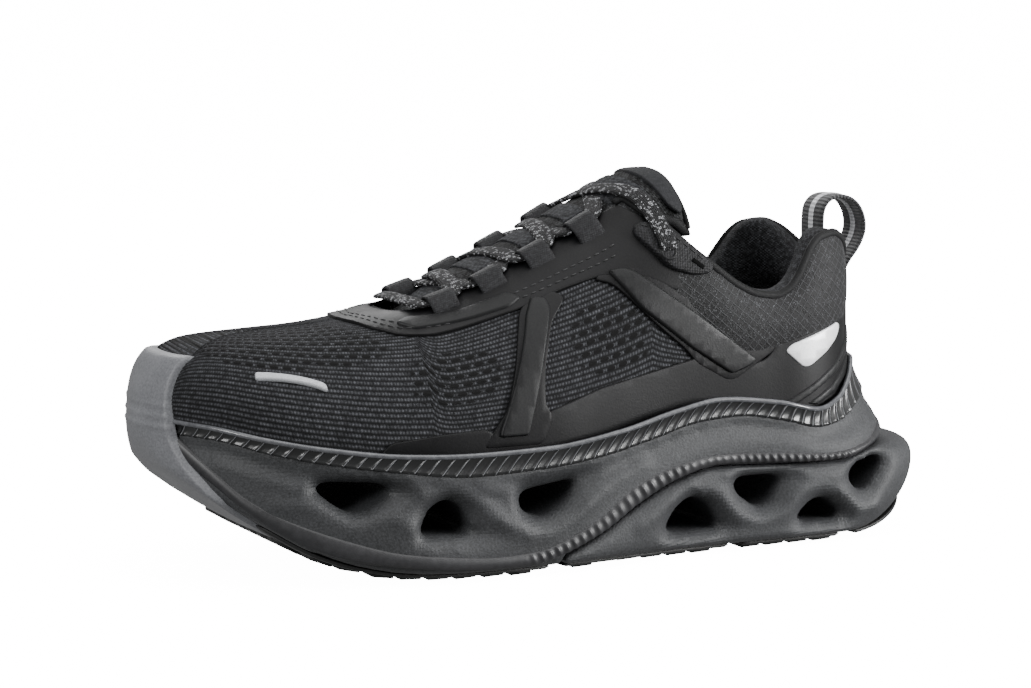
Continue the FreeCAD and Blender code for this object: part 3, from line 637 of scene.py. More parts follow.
def fromSide(x, z, hand, lift=0.0):
    # the face's point behind (x, z) in side view; below the rim the wall goes straight down
    p = onFace(x, angleAtHeight(x, z), hand)
    p[:, 2] = np.where(z < rimZ(x), z, p[:, 2])
    return p + outward(p) * np.reshape(lift, (-1, 1))


def fromAbove(x, y, lift=0.0):
    hand = np.where(y < ridgeY(x), -1.0, 1.0)
    p = onFace(x, angleAtSide(x, y, hand), hand)
    return p + outward(p) * np.reshape(lift, (-1, 1))


def throatHalf(x):
    back = np.clip((upper["throatFront"] + 10 - x) / 10, 0, 1)
    return upper["throatHalf"] * (1 - back ** 2.4) ** (1 / 2.4)


def edgeAngle(x, hand):
    # where the throat or the collar ends the face
    throat = angleAtSide(x, ridgeY(x) + hand * throatHalf(x), hand)
    throat = np.where((x < upper["throatFront"]) | (x > 70), math.pi / 2, throat)
    return np.where(x > 20, np.minimum(throat, angleAtHeight(x, collarZ(x))), throat)


soleOutline = {
    "outer": [(-138, -22), (-120, -40), (-100, -49), (-75, -55), (-50, -57), (-20, -56), (10, -52),
              (40, -48), (70, -46), (100, -45)],
    "inner": [(100, 44), (70, 43), (40, 41), (10, 44), (-20, 50), (-50, 56), (-75, 57), (-100, 54),
              (-120, 48), (-138, 36)],
    "toe": (-150.2, 9.0),
}


def soleRing(heelX, count=360):
    # even points round the sole, starting at the toe and going along the outer side
    heel = [(heelX - 8, -27), (heelX, 0), (heelX - 8, 27)]
    ring = closedCurve([soleOutline["toe"]] + soleOutline["outer"] + heel + soleOutline["inner"], count)
    ahead = np.roll(ring, -1, 0) - np.roll(ring, 1, 0)
    ahead /= np.linalg.norm(ahead, axis=1)[:, None]
    out = np.stack([ahead[:, 1], -ahead[:, 0]], 1)
    return ring, out


treadZ = smoothCurve([(-160, 60), (-152, 49), (-145, 38), (-136, 30), (-127, 23.5), (-117, 17), (-104, 9.5),
                      (-90, 4.5), (-72, 1.2), (-52, 0), (113, 0), (122, 1), (133, 4), (146, 11), (160, 22)])
partingZ = smoothCurve([(-30, 2.0), (-14, 6.5), (0, 12), (17, 21), (35, 29), (52, 32.5), (77, 31.5),
                        (107, 31), (125, 33.5), (160, 37)])
bandZ = smoothCurve([(-160, 53), (-136, 51.5), (-120, 47.5), (-100, 43.5), (-76, 40), (-50, 37), (-20, 38),
                     (1, 40), (24, 44.5), (44, 49), (61, 50), (78, 47.5), (97, 43.5), (110, 45), (120, 49),
                     (130, 53), (160, 58)])
print("outlines ready")


# knitted front and sides
knit = {"ribs": 40, "ribHeight": 0.24, "alongFace": 340, "end": 76.0}
rimCurve = np.array([fromSide(np.array([x]), rimZ(np.array([x])), -1)[0]
                     for x in np.linspace(toeEnd, knit["end"], 900)])
rimRun = np.concatenate([[0], np.cumsum(np.linalg.norm(np.diff(rimCurve, axis=0), axis=1))])


def knitPlace(c, r):
    # columns run from the outer side round the toe to the inner side, rows from the rim up to the throat
    columns = np.unique(np.rint(c * knit["alongFace"]).astype(int))
    lines = []
    samples = np.linspace(0, 1, 120)
    for k in columns:
        share = k / knit["alongFace"] * 2 - 1
        hand = -1.0 if share <= 0 else 1.0
        start = np.interp(abs(share) * rimRun[-1], rimRun, rimCurve[:, 0])
        front = upper["throatFront"]
        if start < front:
            goal = front - 44 * ((front - start) / (front - toeEnd)) ** 1.5
            x = start + (goal - start) * samples ** 1.5
            angle = math.pi / 2 * (1 - (1 - samples) ** 2.0)
        else:
            x = np.full(120, start)
            angle = samples * edgeAngle(np.array([start]), hand)[0]
        lines.append(evenly(onFace(x, angle, hand), int(knit["ribs"] * 4) + 1))
    lines = np.array(lines)
    i = np.rint(c * knit["alongFace"]).astype(int)
    j = np.rint(r * knit["ribs"] * 4).astype(int)
    p = lines[i, j]
    wave = 0.5 + 0.5 * np.cos(r * knit["ribs"] * 2 * math.pi)
    edge = smoothStep(0, 0.02, r) * smoothStep(1, 0.985, r)
    return p + outward(p) * ((wave - 1) * knit["ribHeight"] * edge)[:, None]


def pierced(c, r, p):
    # 1 where the knit has its small openings
    x, z, y = p[:, 0], p[:, 2], p[:, 1]
    zones = [
        smoothStep(1.1, 0.95, ((x + 103) / 31) ** 2 + ((z - 81.5) / 6.5) ** 2),
        smoothStep(1.1, 0.95, np.abs((x + 51) / 17) ** 3 + np.abs((z - 70.5 - 0.08 * (x + 51)) / 8.5) ** 3),
        smoothStep(1.1, 0.95, np.abs((x - 10) / 15.5) ** 3 + np.abs((z - 81 - 0.02 * (x - 10)) / 12) ** 3),
    ]
    return np.clip(sum(zones), 0, 1)


def knitCloth(c, r, p):
    return np.stack([(c * 2 - 1) * rimRun[-1], r * knit["ribs"]], 1)


vampBm = gridShape(knit["alongFace"], knit["ribs"] * 4, knitPlace, knitCloth, pierced, merge=0.02)
vamp = finishPiece("vampKnit", vampBm, "knit")
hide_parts("vamp_mesh", "vamp_lining", "toe_puff")
print("knit ready")

# ripstop quarters with padding under them
quarter = {"columns": 150, "rows": 44, "front": 13.0, "pad": 2.3, "lift": 0.35}
quarterLow = smoothCurve([(10, 112), (18, 103), (25, 99), (48, 84), (60, 74), (70, 72), (90, 76), (115, 81),
                          (125, 82)])


def quarterPlace(c, r):
    share = c * 2 - 1
    hand = np.where(share <= 0, -1.0, 1.0)
    x = heelEnd - (heelEnd - quarter["front"]) * np.abs(share) ** 1.6
    low = angleAtHeight(x, quarterLow(x))
    high = np.maximum(edgeAngle(x, hand), low + 0.02)
    angle = low + (high - low) * r
    swell = np.sin(math.pi * np.clip(r * 0.93 + 0.02, 0, 1)) ** 0.8 * quarter["pad"] * smoothStep(28, 60, x)
    return onFace(x, angle, hand, quarter["lift"] + swell * (1 - 0.5 * smoothStep(105, 120, x)))


quarterBm = gridShape(quarter["columns"], quarter["rows"], quarterPlace, merge=0.02)
quarterPiece = finishPiece("quarterRipstop", quarterBm, "ripstop")
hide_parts("quarter_fabric")

# padded collar and its lining: one roll from the bound edge down into the shoe
collarRoll = {"columns": 190, "rows": 40, "front": 27.0, "thick": 8.5, "rollRise": 1.6, "floorGap": 2.0}


def collarPlace(c, r):
    share = c * 2 - 1
    hand = np.where(share <= 0, -1.0, 1.0)
    x = heelEnd - (heelEnd - collarRoll["front"]) * np.abs(share) ** 1.5
    edge = onFace(x, edgeAngle(x, hand), hand)
    middle = np.stack([np.minimum(x, 92.0), 0 * x, edge[:, 2]], 1)
    inward = middle - edge
    inward[:, 2] = 0
    inward[:, 0] *= smoothStep(80, 100, x)
    inward /= np.maximum(np.linalg.norm(inward, axis=1), 1e-6)[:, None]
    fade = smoothStep(collarRoll["front"], 52, x) * 0.75 + 0.25
    thick = collarRoll["thick"] * fade * (1 + 0.35 * smoothStep(98, 116, x))
    roll = np.clip(r / 0.4, 0, 1) * math.pi
    over = thick / 2 * (1 - np.cos(roll))
    rise = np.sin(roll) * collarRoll["rollRise"] * fade + 0.4
    drop = np.clip((r - 0.4) / 0.6, 0, 1)
    low = rimZ(x) - collarRoll["floorGap"]
    wallAngle = angleAtHeight(x, edge[:, 2] + (low - edge[:, 2]) * drop)
    wall = onFace(x, wallAngle, hand)
    belly = (1 + 0.35 * np.sin(math.pi * np.clip(drop * 2.2, 0, 1)) * fade)
    base = np.where((r > 0.4)[:, None], wall, edge)
    deep = thick * (np.where(r > 0.4, belly, 1)) * (1 - 0.45 * smoothStep(0.55, 1, drop))
    p = base + inward * np.where(r > 0.4, deep, over)[:, None]
    p[:, 2] += np.where(r > 0.4, 0.4 * (1 - drop), rise)
    return p


def collarCloth(c, r, p):
    return np.stack([c * 400, r * 90], 1)


collarBm = gridShape(collarRoll["columns"], collarRoll["rows"], collarPlace, collarCloth, merge=0.02)
for turn in range(10):
    bmesh.ops.smooth_vert(collarBm, verts=[v for v in collarBm.verts if not v.is_boundary], factor=0.5,
                          use_axis_x=True, use_axis_y=True, use_axis_z=True)
collarLining = finishPiece("collarLining", collarBm, "lining")
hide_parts("collar_foam", "collar_lining")

# bound edge round the collar
binding = {"width": 3.4, "height": 2.6, "front": 24.0}
bindingX = heelEnd - (heelEnd - binding["front"]) * np.abs(np.linspace(-1, 1, 241)) ** 1.5
bindingHand = np.where(np.linspace(-1, 1, 241) <= 0, -1.0, 1.0)
bindingPath = onFace(bindingX, edgeAngle(bindingX, bindingHand), bindingHand, 0.4)
bindingUp = outward(bindingPath)
bindingPath = evenly(bindingPath, 241)
bindingShape = sweptShape(bindingPath, ellipseRing(binding["width"], binding["height"], 12), bindingUp)
bindingPiece = finishPiece("collarBinding", bindingShape, "binding")
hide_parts("collar_binding")
print("quarters and collar ready")


# bonded films, bars and patches
def filmShape(outline, lift, face, low=-0.35, soft=0.5, cut=3.0):
    # a flat outline with narrow rings inside its edge, cut into small pieces and laid on the upper
    spots = np.array(outline)
    ahead = np.roll(spots, -1, 0) - np.roll(spots, 1, 0)
    ahead /= np.maximum(np.linalg.norm(ahead, axis=1), 1e-9)[:, None]
    area = np.sum(spots[:, 0] * np.roll(spots[:, 1], -1) - np.roll(spots[:, 0], -1) * spots[:, 1])
    inward = np.stack([-ahead[:, 1], ahead[:, 0]], 1) * np.sign(area)
    bm = bmesh.new()
    loops = []
    for share in (0.0, 0.15, 0.5, 1.0):
        verts = [bm.verts.new((*p, 0)) for p in spots + inward * soft * share]
        loops.append([bm.edges.new((a, b)) for a, b in zip(verts, verts[1:] + verts[:1])])
    for outer, inner in zip(loops, loops[1:]):
        bmesh.ops.bridge_loops(bm, edges=outer + inner)
    bm.faces.new([e.verts[0] for e in loops[-1]])
    for axis in (0, 1):
        places = list(np.arange(math.ceil(spots[:, axis].min() / cut) * cut + 0.013, spots[:, axis].max(), cut))
        if axis == 0:
            places += [p for p in (119.1, 120.3, 121.1, 121.7, 122.1) if p < spots[:, 0].max() - 0.05]
        for place in places:
            point, normal = [0, 0, 0], [0, 0, 0]
            point[axis], normal[axis] = place, 1
            bmesh.ops.bisect_plane(bm, geom=bm.verts[:] + bm.edges[:] + bm.faces[:], dist=0.005, plane_co=point,
                                   plane_no=normal)
    places = np.array([v.co[:] for v in bm.verts])
    away = np.full(len(places), farAway)
    for a, b in zip(spots, np.roll(spots, -1, 0)):
        away = np.minimum(away, segmentDistance(places[:, 0], places[:, 1], a, b)[0])
    heights = np.interp(away / soft, [0, 0.14, 0.5, 0.97], [low, lift * 0.6, lift * 0.92, lift])
    for v, p in zip(bm.verts, face(places[:, 0], places[:, 1], heights)):
        v.co = p
    bmesh.ops.triangulate(bm, faces=[f for f in bm.faces if len(f.verts) > 4])
    bmesh.ops.recalc_face_normals(bm, faces=bm.faces[:])
    return bm


def sideFilm(name, corners, lift, material, hand, replaced, radius, low, soft, cut):
    outline = roundedOutline(corners, radius)

    def face(x, z, rise):
        return fromSide(np.minimum(x, heelEnd), z, float(hand), rise)
    bm = filmShape(outline, lift, face, low, soft, cut)
    point = outward(np.array([v.co[:] for v in bm.verts]))
    bm.normal_update()
    facing = sum(np.dot(way, v.normal) for way, v in zip(point, bm.verts))
    piece = finishPiece(name, bm, material, turn=facing < 0)
    if replaced:
        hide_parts(replaced)


outlines = {
    "lowerOverlay": [(-84, 43), (-78, 50), (-59, 52), (-42, 53), (-37, 49), (-25, 50), (-19, 57), (4, 64),
                     (43, 71.5), (51, 74), (60, 66.5), (75, 69.5), (79, 73.5), (75, 79), (90, 82.5),
                     (115, 88), (122.4, 90), (122.4, 50), (97, 45), (77, 49), (52, 51), (35, 49), (10, 44),
                     (-20, 40), (-50, 39.5), (-76, 41)],
    "frontBar": [(-17.5, 96), (-12.5, 95.5), (-12, 92), (-17, 79), (-23, 60), (-26, 49.5), (-37.5, 49.5),
                 (-37, 52), (-29, 71), (-21.5, 90)],
    "frontPanel": [(-44, 46), (-38, 54), (-34, 58.5), (-29.5, 72), (-26.5, 83), (-23, 92), (-12, 99),
                   (-5, 96), (-13, 87), (-18, 72), (-19, 60), (-16, 56), (-20, 46)],
    "rearPanel": [(6, 101), (14, 106), (25, 105), (48, 90), (64, 79), (76, 80), (80, 73), (60, 62),
                  (45, 70), (41, 75), (29, 84.5), (13, 100)],
    "rearBar": [(12, 104), (18, 105), (22, 104), (48, 86.5), (71, 70), (68, 67.5), (60, 65), (43, 75.5),
                (23, 90.5)],
    "eyeletPatch": [(24.5, 116), (27, 120), (36, 120), (47, 110.5), (54, 104.5), (52, 101.5), (45, 101),
                    (36, 104)],
    "heelStripeHigh": [(83, 53), (95, 59), (108, 66.5), (117, 75), (120.3, 80), (121, 76), (117, 70),
                       (108, 62.5), (95, 55.5), (86, 51)],
    "heelStripeLow": [(93, 52), (105, 58), (114, 64.5), (120.4, 72), (121, 68), (115, 60.5), (106, 55),
                      (97, 51)],
    "reflector": [(83.5, 72), (86, 74.3), (108.5, 81), (109.6, 79), (107.5, 75), (102, 70.5), (94, 65.8),
                  (91, 65.8)],
}
# piece: lift, material, CAD part it stands for, slot, corner radius, edge height, edge width, cell
sideFilms = {
    "lowerOverlay": (0.8, "film", "lower_overlay", "overlay_film", 2.5, -0.35, 0.5, 3.0),
    "frontPanel": (0.95, "film", None, "overlay_film", 3.0, -0.35, 0.5, 3.0),
    "rearPanel": (0.95, "film", None, "overlay_film", 4.0, -0.35, 0.5, 3.0),
    "frontBar": (1.9, "filmRaised", "front_bar", "overlay_film", 1.5, 0.7, 0.9, 3.0),
    "rearBar": (2.0, "filmRaised", "rear_bar", "overlay_film", 2.0, 0.7, 1.0, 3.0),
    "eyeletPatch": (2.9, "eyeletPatch", "eyelet_patch", "overlay_film", 3.0, 0.9, 0.9, 3.0),
    "heelStripeHigh": (1.5, "filmRaised", "heel_stripes", "overlay_film", 1.0, 0.5, 0.8, 2.0),
    "heelStripeLow": (1.5, "filmRaised", None, "overlay_film", 1.0, 0.5, 0.8, 2.0),
    "reflector": (1.3, "reflector", "reflector", "reflective_film", 1.5, 0.5, 0.4, 3.0),
}
for sideName, hand in sides:
    for name, (lift, material, cadPart, slotName, radius, low, soft, cut) in sideFilms.items():
        sideFilm(f"{name}.{sideName}", outlines[name], lift, material, hand,
                 cadPart and f"{cadPart}_{sideName}",
                 radius, low, soft, cut)

heelFilm = {"reach": 9.0, "low": 51.0, "high": 89.5, "lift": 1.05}


def heelFilmPlace(c, r):
    # bridges the two sides round the back of the heel
    share = c * 2 - 1
    x = heelEnd - heelFilm["reach"] * np.abs(share) ** 1.6
    z = heelFilm["low"] + (heelFilm["high"] - heelFilm["low"]) * r
    edge = np.clip(np.minimum(np.minimum(r, 1 - r) * 20, np.minimum(c, 1 - c) * 14), 0, 1)
    return fromSide(x, z, np.where(share <= 0, -1.0, 1.0), heelFilm["lift"] * edge)


heelFilmPiece = finishPiece("heelOverlay", gridShape(48, 24, heelFilmPlace, merge=0.02), "film")
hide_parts("heel_overlay")


def finishFilm(name, bm, material, replaced, body="shoe"):
    # a film that is laid from above: its face points up
    bm.normal_update()
    piece = finishPiece(name, bm, material, body, turn=sum(v.normal.z for v in bm.verts) < 0)
    if replaced:
        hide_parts(replaced)


def aboveFilm(name, corners, lift, material, replaced=None, radius=2.0, low=-0.35,
              soft=0.5):
    bm = filmShape(roundedOutline(corners, radius), lift, fromAbove, low, soft)
    finishFilm(name, bm, material, replaced)


stay = {
    "outer": [(-79, 3), (-78, -7), (-74, -20), (-66, -29), (-56, -32.5), (-41, -33.5), (-22, -35),
              (-6, -34), (8, -34), (22, -36), (36, -38), (44, -37.6), (47.5, -36), (46, -34.2), (35, -28.6),
              (30, -25.6), (26.5, -21.5), (24, -17.4)],
    "inner": [(10, -17), (-20, -16.5), (-50, -16.5), (-58, -14), (-62.5, -8), (-64, 3)],
}
aboveFilm("eyestay.lateral", stay["outer"] + stay["inner"], 1.0, "film", "eyestay", radius=3.0)
aboveFilm("eyestay.medial", [(x, -y) for x, y in stay["outer"] + stay["inner"]], 1.0, "film", None, radius=3.0)
plate = [(-65, -22.5), (-60, -28.5), (-40, -31.8), (-26, -33.4), (-20.5, -32), (-25, -27.8), (-45, -26),
         (-60, -20.5)]
aboveFilm("stayPlate.lateral", plate, 1.9, "filmRaised", None, radius=1.5, low=0.8, soft=0.8)
aboveFilm("stayPlate.medial", [(x, -y) for x, y in plate], 1.9, "filmRaised", None, radius=1.5, low=0.8,
          soft=0.8)
aboveFilm("reflectiveBar", [(-119.8, -28.0), (-97.5, -38.0), (-97.2, -40.0),
                            (-120.4, -30.2)], 1.1, "reflectorBar",
          "reflective_bar", radius=1.6, soft=0.6)
print("films ready")


# moulded foam sole: a plain block with soft windows, remeshed and then sculpted by distance
def applied(piece):
    # the piece with its modifiers made real
    graph = bpy.context.evaluated_depsgraph_get()
    mesh = bpy.data.meshes.new_from_object(piece.evaluated_get(graph))
    piece.modifiers.clear()
    piece.data = mesh
    return piece


def ringsShape(rings):
    # rings of the same count, lofted, with both ends closed
    bm = bmesh.new()
    loops = []
    for ring in rings:
        verts = [bm.verts.new(p) for p in ring]
        loops.append([bm.edges.new((a, b)) for a, b in zip(verts, verts[1:] + verts[:1])])
    for low, high in zip(loops, loops[1:]):
        bmesh.ops.bridge_loops(bm, edges=low + high)
    for loop in (loops[0], loops[-1]):
        bmesh.ops.holes_fill(bm, edges=loop, sides=0)
    bmesh.ops.recalc_face_normals(bm, faces=bm.faces[:])
    return bm


def windowShape(corners):
    outline = roundedOutline(corners, 2.5, 1.2)
    return ringsShape([[(x, y, z) for x, z in outline] for y in (-75.0, 75.0)])


windows = {
    # side outlines through the foam and the heel wedge, each with the point its recess trails off to
    "foam": {
        "front": ([(-105, 37), (-100, 37.3), (-82, 36.5), (-77, 34), (-80, 31), (-87, 27), (-92, 26),
                   (-97, 29), (-102, 33)], (-70, 34)),
        "low": ([(-69, 17.5), (-66, 25), (-61, 29), (-57, 29.5), (-52, 26), (-50, 20), (-48, 16.5)], (-37, 16)),
        "back": ([(-31, 27), (-29, 30.5), (-17, 32), (-9, 33), (-8, 31), (-12, 25), (-21, 20.5), (-25, 21),
                  (-30, 24)], (2, 36)),
    },
    "wedge": {
        "lowFront": ([(30, 10), (33, 16), (39, 21), (43, 22), (49, 19), (53, 12.5), (55, 9.5),
                      (39, 9)], (61, 9)),
        "highFront": ([(60, 26), (63, 27.3), (76, 27.3), (82, 25.5), (79, 23), (77, 18), (72, 16), (69, 16),
                       (61, 22)], (88, 27)),
        "lowBack": ([(87, 8.8), (88, 12), (94, 17), (99, 17.3), (103, 14), (108, 9.2), (106, 8.6)], (112, 7.6)),
        "highBack": ([(110, 24.5), (113, 28), (121, 30), (126, 30.5), (127, 28), (123, 23), (118, 18),
                      (115, 18), (111, 21.5)], (130, 31)),
    },
}
foam = {"voxel": 1.35, "funnel": 3.6, "reach": 6.5, "smooth": 5, "lipWidth": 2.4, "rimLimit": 66.0,
        "hollowWidth": 4.2, "hollowDepth": 2.8, "wall": 9.0}


def sculpt(piece, ring, group, lines):
    # pulls the wall in round each window, deeper towards its tail, and adds the flowing ridges
    mesh = piece.data
    p = np.zeros(len(mesh.vertices) * 3)
    mesh.vertices.foreach_get("co", p)
    p = p.reshape(-1, 3) / mm
    outer = ring[ring[:, 1] < 0]
    inner = ring[ring[:, 1] > 0]
    outer, inner = outer[np.argsort(outer[:, 0])], inner[np.argsort(inner[:, 0])]
    lowY, highY = np.interp(p[:, 0], outer[:, 0], outer[:, 1]), np.interp(p[:, 0], inner[:, 0], inner[:, 1])
    depth = np.where(p[:, 1] < 0, p[:, 1] - lowY, highY - p[:, 1])
    weight = smoothStep(foam["wall"], 1.5, depth)
    pull = np.zeros(len(p))
    for corners, tail in windows[group].values():
        outline = np.array(roundedOutline(corners, 2.5, 1.2))
        near = np.full(len(p), farAway)
        inside = np.zeros(len(p), bool)
        for a, b in zip(outline, np.roll(outline, -1, 0)):
            near = np.minimum(near, segmentDistance(p[:, 0], p[:, 2], a, b)[0])
            cross = (a[1] > p[:, 2]) != (b[1] > p[:, 2])
            inside ^= cross & (p[:, 0] < (b[0] - a[0]) * (p[:, 2] - a[1]) / (b[1] - a[1] + 1e-12) + a[0])
        near[inside] = 0
        pull = np.maximum(pull, foam["funnel"] * (1 - np.clip(near / foam["reach"], 0, 1)) ** 1.8)
        start = outline[np.argmin(np.hypot(outline[:, 0] - tail[0], outline[:, 1] - tail[1]))]
        away, along = segmentDistance(p[:, 0], p[:, 2], start, tail)
        width = foam["hollowWidth"] * (1 - 0.55 * along)
        pull = np.maximum(pull, foam["hollowDepth"] * (1 - along) ** 0.7 * np.exp(-(away / width) ** 2))
    p[:, 1] += np.where(p[:, 1] < 0, 1, -1) * weight * (pull - ridgeLines(p[:, 0], p[:, 2], lines))
    mesh.vertices.foreach_set("co", (p * mm).ravel())
    mesh.update()


def softened(piece, turns, factor=0.5):
    bm = bmesh.new()
    bm.from_mesh(piece.data)
    for turn in range(turns):
        bmesh.ops.smooth_vert(bm, verts=bm.verts[:], factor=factor, use_axis_x=True, use_axis_y=True,
                              use_axis_z=True)
    bm.to_mesh(piece.data)
    bm.free()


def moulded(name, base, group):
    # cuts the windows, then remeshes so that every edge can be softened
    piece = finishPiece(name, base, "foam", None)
    cutters = []
    for corners, tail in windows[group].values():
        cutter = finishPiece("cutter", windowShape(corners), "foam", None)
        cut = piece.modifiers.new("window", "BOOLEAN")
        cut.object, cut.operation, cut.solver = cutter, "DIFFERENCE", "EXACT"
        cutters.append(cutter)
    remesh = piece.modifiers.new("even", "REMESH")
    remesh.mode, remesh.voxel_size, remesh.adaptivity = "VOXEL", foam["voxel"] * mm, 0.0
    bpy.context.view_layer.update()
    applied(piece)
    for cutter in cutters:
        bpy.data.objects.remove(cutter)
    return piece


def wallRing(ring, out, inset, z):
    p = ring - out * np.reshape(inset, (-1, 1))
    return [tuple(q) + (float(h),) for q, h in zip(p, z)]


def drawnIn(ringPoints):
    # the same ring pulled almost to the middle line, so that the end closes without a fold
    return [(a, b * 0.05, c) for a, b, c in ringPoints]


def rimTop(px):
    return np.minimum(rimZ(px), foam["rimLimit"])


def leanShare(px, z):
    # 0 at the parting line and 1 at the top of the rim
    return np.clip((z - partingZ(px) - 3) / (rimTop(px) - partingZ(px) - 3), 0, 1) ** 1.15


def ridgeLines(px, pz, lines):
    # raised lines: (points, height, width) in side view
    ridge = np.zeros(len(px))
    for line, height, width in lines:
        away = np.full(len(px), farAway)
        for a, b in zip(line, line[1:]):
            away = np.minimum(away, segmentDistance(px, pz, a, b)[0])
        ridge = np.maximum(ridge, height * np.exp(-(away / width) ** 2))
    return ridge


ring, out = soleRing(139.0)
x = ring[:, 0]


def cupTaper(points, outs):
    # how far in the rim leans so that it hugs the heel of the upper
    low, high = np.zeros(len(points)), np.full(len(points), 40.0)
    for turn in range(24):
        middle = (low + high) / 2
        p = points - outs * middle[:, None]
        past = (outside(np.stack([p[:, 0], p[:, 1], rimZ(p[:, 0]) + 0.3], 1)) > 1) | (p[:, 0] > heelEnd)
        low, high = np.where(past, middle, low), np.where(past, high, middle)
    return np.maximum(low - 3.4, 0) * smoothStep(80, 112, points[:, 0])


ringTaper = cupTaper(ring, out)
for turn in range(6):
    ringTaper = (np.roll(ringTaper, 1) + 2 * ringTaper + np.roll(ringTaper, -1)) / 4
topRim = rimTop(x)
lowZ = treadZ(x) + 3.0
lowZ = np.where(x > -14, np.maximum(lowZ, partingZ(x)), lowZ)
bandLow = bandZ(x)
# the underside follows the toe spring: its first ring is drawn in to the middle line
rings = [drawnIn(wallRing(ring, out, 0.0, lowZ))]
for share, inset in ((0.0, 7.0), (0.0, 3.2), (0.05, 1.3), (0.13, 0.35), (0.3, 0.0), (0.5, 0.1), (0.66, 0.9),
                     (0.8, 1.9),
                     (0.92, 1.7), (1.0, 0.9)):
    z = lowZ + (bandLow - lowZ) * share
    low = inset * np.where(x > -6, 0.35, 1.0) * np.where(x < -105, 0.12, 1.0) if share < 0.2 else inset
    lean = ringTaper * leanShare(x, z)
    rings.append(wallRing(ring, out, low + lean, z))
for share, inset in ((0.12, 1.6), (0.35, 2.5), (0.8, 2.5), (1.0, foam["lipWidth"] + 0.4)):
    z = bandLow + (topRim - bandLow) * share
    lean = ringTaper * leanShare(x, z)
    rings.append(wallRing(ring, out, inset + lean, z - (0.5 if share == 1 else 0)))
upperHand = np.where(out[:, 1] < 0, -1.0, 1.0)
footX = np.clip(x, toeEnd + 1.5, heelEnd - 0.4)
foot = fromSide(footX, rimZ(footX), upperHand)[:, :2]
for grow, drop in ((0.6, 1.2), (0.0, 5.0), (-4.0, 8.0), (-22.0, 8.0)):
    inwards = np.stack([np.clip(footX, -110, 90), 0 * footX], 1) - foot
    inwards /= np.linalg.norm(inwards, axis=1)[:, None]
    p = foot - inwards * grow
    p -= out * np.maximum(0, 3.8 - np.sum((ring - p) * out, 1))[:, None] * smoothStep(40, -20, x)[:, None]
    rings.append([(a, b, float(c)) for (a, b), c in zip(p, rimZ(footX) - drop)])
rings.append(drawnIn(rings[-1]))
midsole = moulded("midsoleFoam", ringsShape(rings), "foam")


# raised lines that flow from window to window: side points, height, width
midsoleLines = [
    ([(-133, 44), (-112, 36), (-96, 40), (-75, 37), (-66, 31), (-57, 33), (-46, 28), (-38, 20),
      (-28, 15.5)], 1.1, 2.2),
    ([(-46, 33), (-36, 31), (-32, 22), (-22, 16), (-8, 22), (6, 31), (20, 37)], 1.0, 2.4),
    ([(-118, 30), (-104, 30), (-92, 23), (-80, 26), (-72, 20), (-66, 14)], 0.8, 2.4),
]
sculpt(midsole, ring, "foam", midsoleLines)
softened(midsole, foam["smooth"])
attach(midsole, "shoe")
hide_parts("midsole")
print("midsole ready:", len(midsole.data.polygons))

# heel wedge
wedgeRing, wedgeOut = soleRing(153.0)
keep = wedgeRing[:, 0] > -14
wx = np.maximum(wedgeRing[:, 0], -14.0)
topW, lowW = partingZ(wx) - 0.3, treadZ(wx) + 3.0
topW = np.where(wx > 125, np.minimum(topW, 34.5), topW)
rear = smoothStep(104, 138, wx)
wedgeRings = []
for share, inset, rearInset in ((0.0, 6.0, 9.0), (0.0, 2.6, 6.0), (0.12, 1.0, 3.0), (0.3, 0.25, 1.0),
                                (0.55, 0.0, 0.0),
                                (0.75, 0.3, 0.2), (0.92, 0.9, 2.2), (1.0, 1.8, 5.5), (1.0, 5.0, 9.0)):
    z = lowW + (topW - lowW) * share
    shift = inset * (1 - rear) + rearInset * rear
    px = wx - np.where(keep, wedgeOut[:, 0], 0) * shift
    py = wedgeRing[:, 1] - np.where(keep, wedgeOut[:, 1], 0) * shift
    wedgeRings.append([(float(a), float(b), float(c)) for a, b, c in zip(px, py, z)])
first, last = np.argmax(keep), len(keep) - 1 - np.argmax(keep[::-1])
wedgeRings = [one[first:last + 1] for one in wedgeRings]
wedgeRings = [drawnIn(wedgeRings[0])] + wedgeRings + [drawnIn(wedgeRings[-1])]
wedge = moulded("heelWedge", ringsShape(wedgeRings), "wedge")


wedgeLines = [
    ([(18, 14), (28, 20), (40, 26), (52, 22), (60, 14), (70, 11), (80, 14), (86, 21), (96, 22), (106, 18),
      (112, 12), (122, 12)], 1.1, 2.2),
    ([(28, 6), (60, 5.5), (84, 5), (112, 4.5)], 0.7, 2.0),
    ([(56, 29), (84, 29.5), (92, 26), (104, 25), (110, 30)], 0.8, 2.0),
]
sculpt(wedge, wedgeRing, "wedge", wedgeLines)
softened(wedge, foam["smooth"])
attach(wedge, "shoe")
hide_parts("heel_wedge")
print("wedge ready:", len(wedge.data.polygons))


# ribbed band with its painted rib highlight, the lip with its painted highlight, and the satin band low on the
# foam
def wallPoint(run, height, ringPoints, ringOut, ringRun, inset):
    # a point on the sole's wall at a distance round it
    total = ringRun[-1]
    run = np.mod(run, total)
    closed = np.vstack([ringPoints, ringPoints[:1]])
    outs = np.vstack([ringOut, ringOut[:1]])
    px, py = np.interp(run, ringRun, closed[:, 0]), np.interp(run, ringRun, closed[:, 1])
    ox, oy = np.interp(run, ringRun, outs[:, 0]), np.interp(run, ringRun, outs[:, 1])
    return np.stack([px - ox * inset, py - oy * inset, height], 1)


def runOf(points):
    closed = np.vstack([points, points[:1]])
    return np.concatenate([[0], np.cumsum(np.linalg.norm(np.diff(closed, axis=0), axis=1))])


soleRun = runOf(ring)


def leanAt(run, px, z):
    full = np.interp(np.mod(run, soleRun[-1]), soleRun, np.append(ringTaper, ringTaper[0]))
    return full * leanShare(px, z)


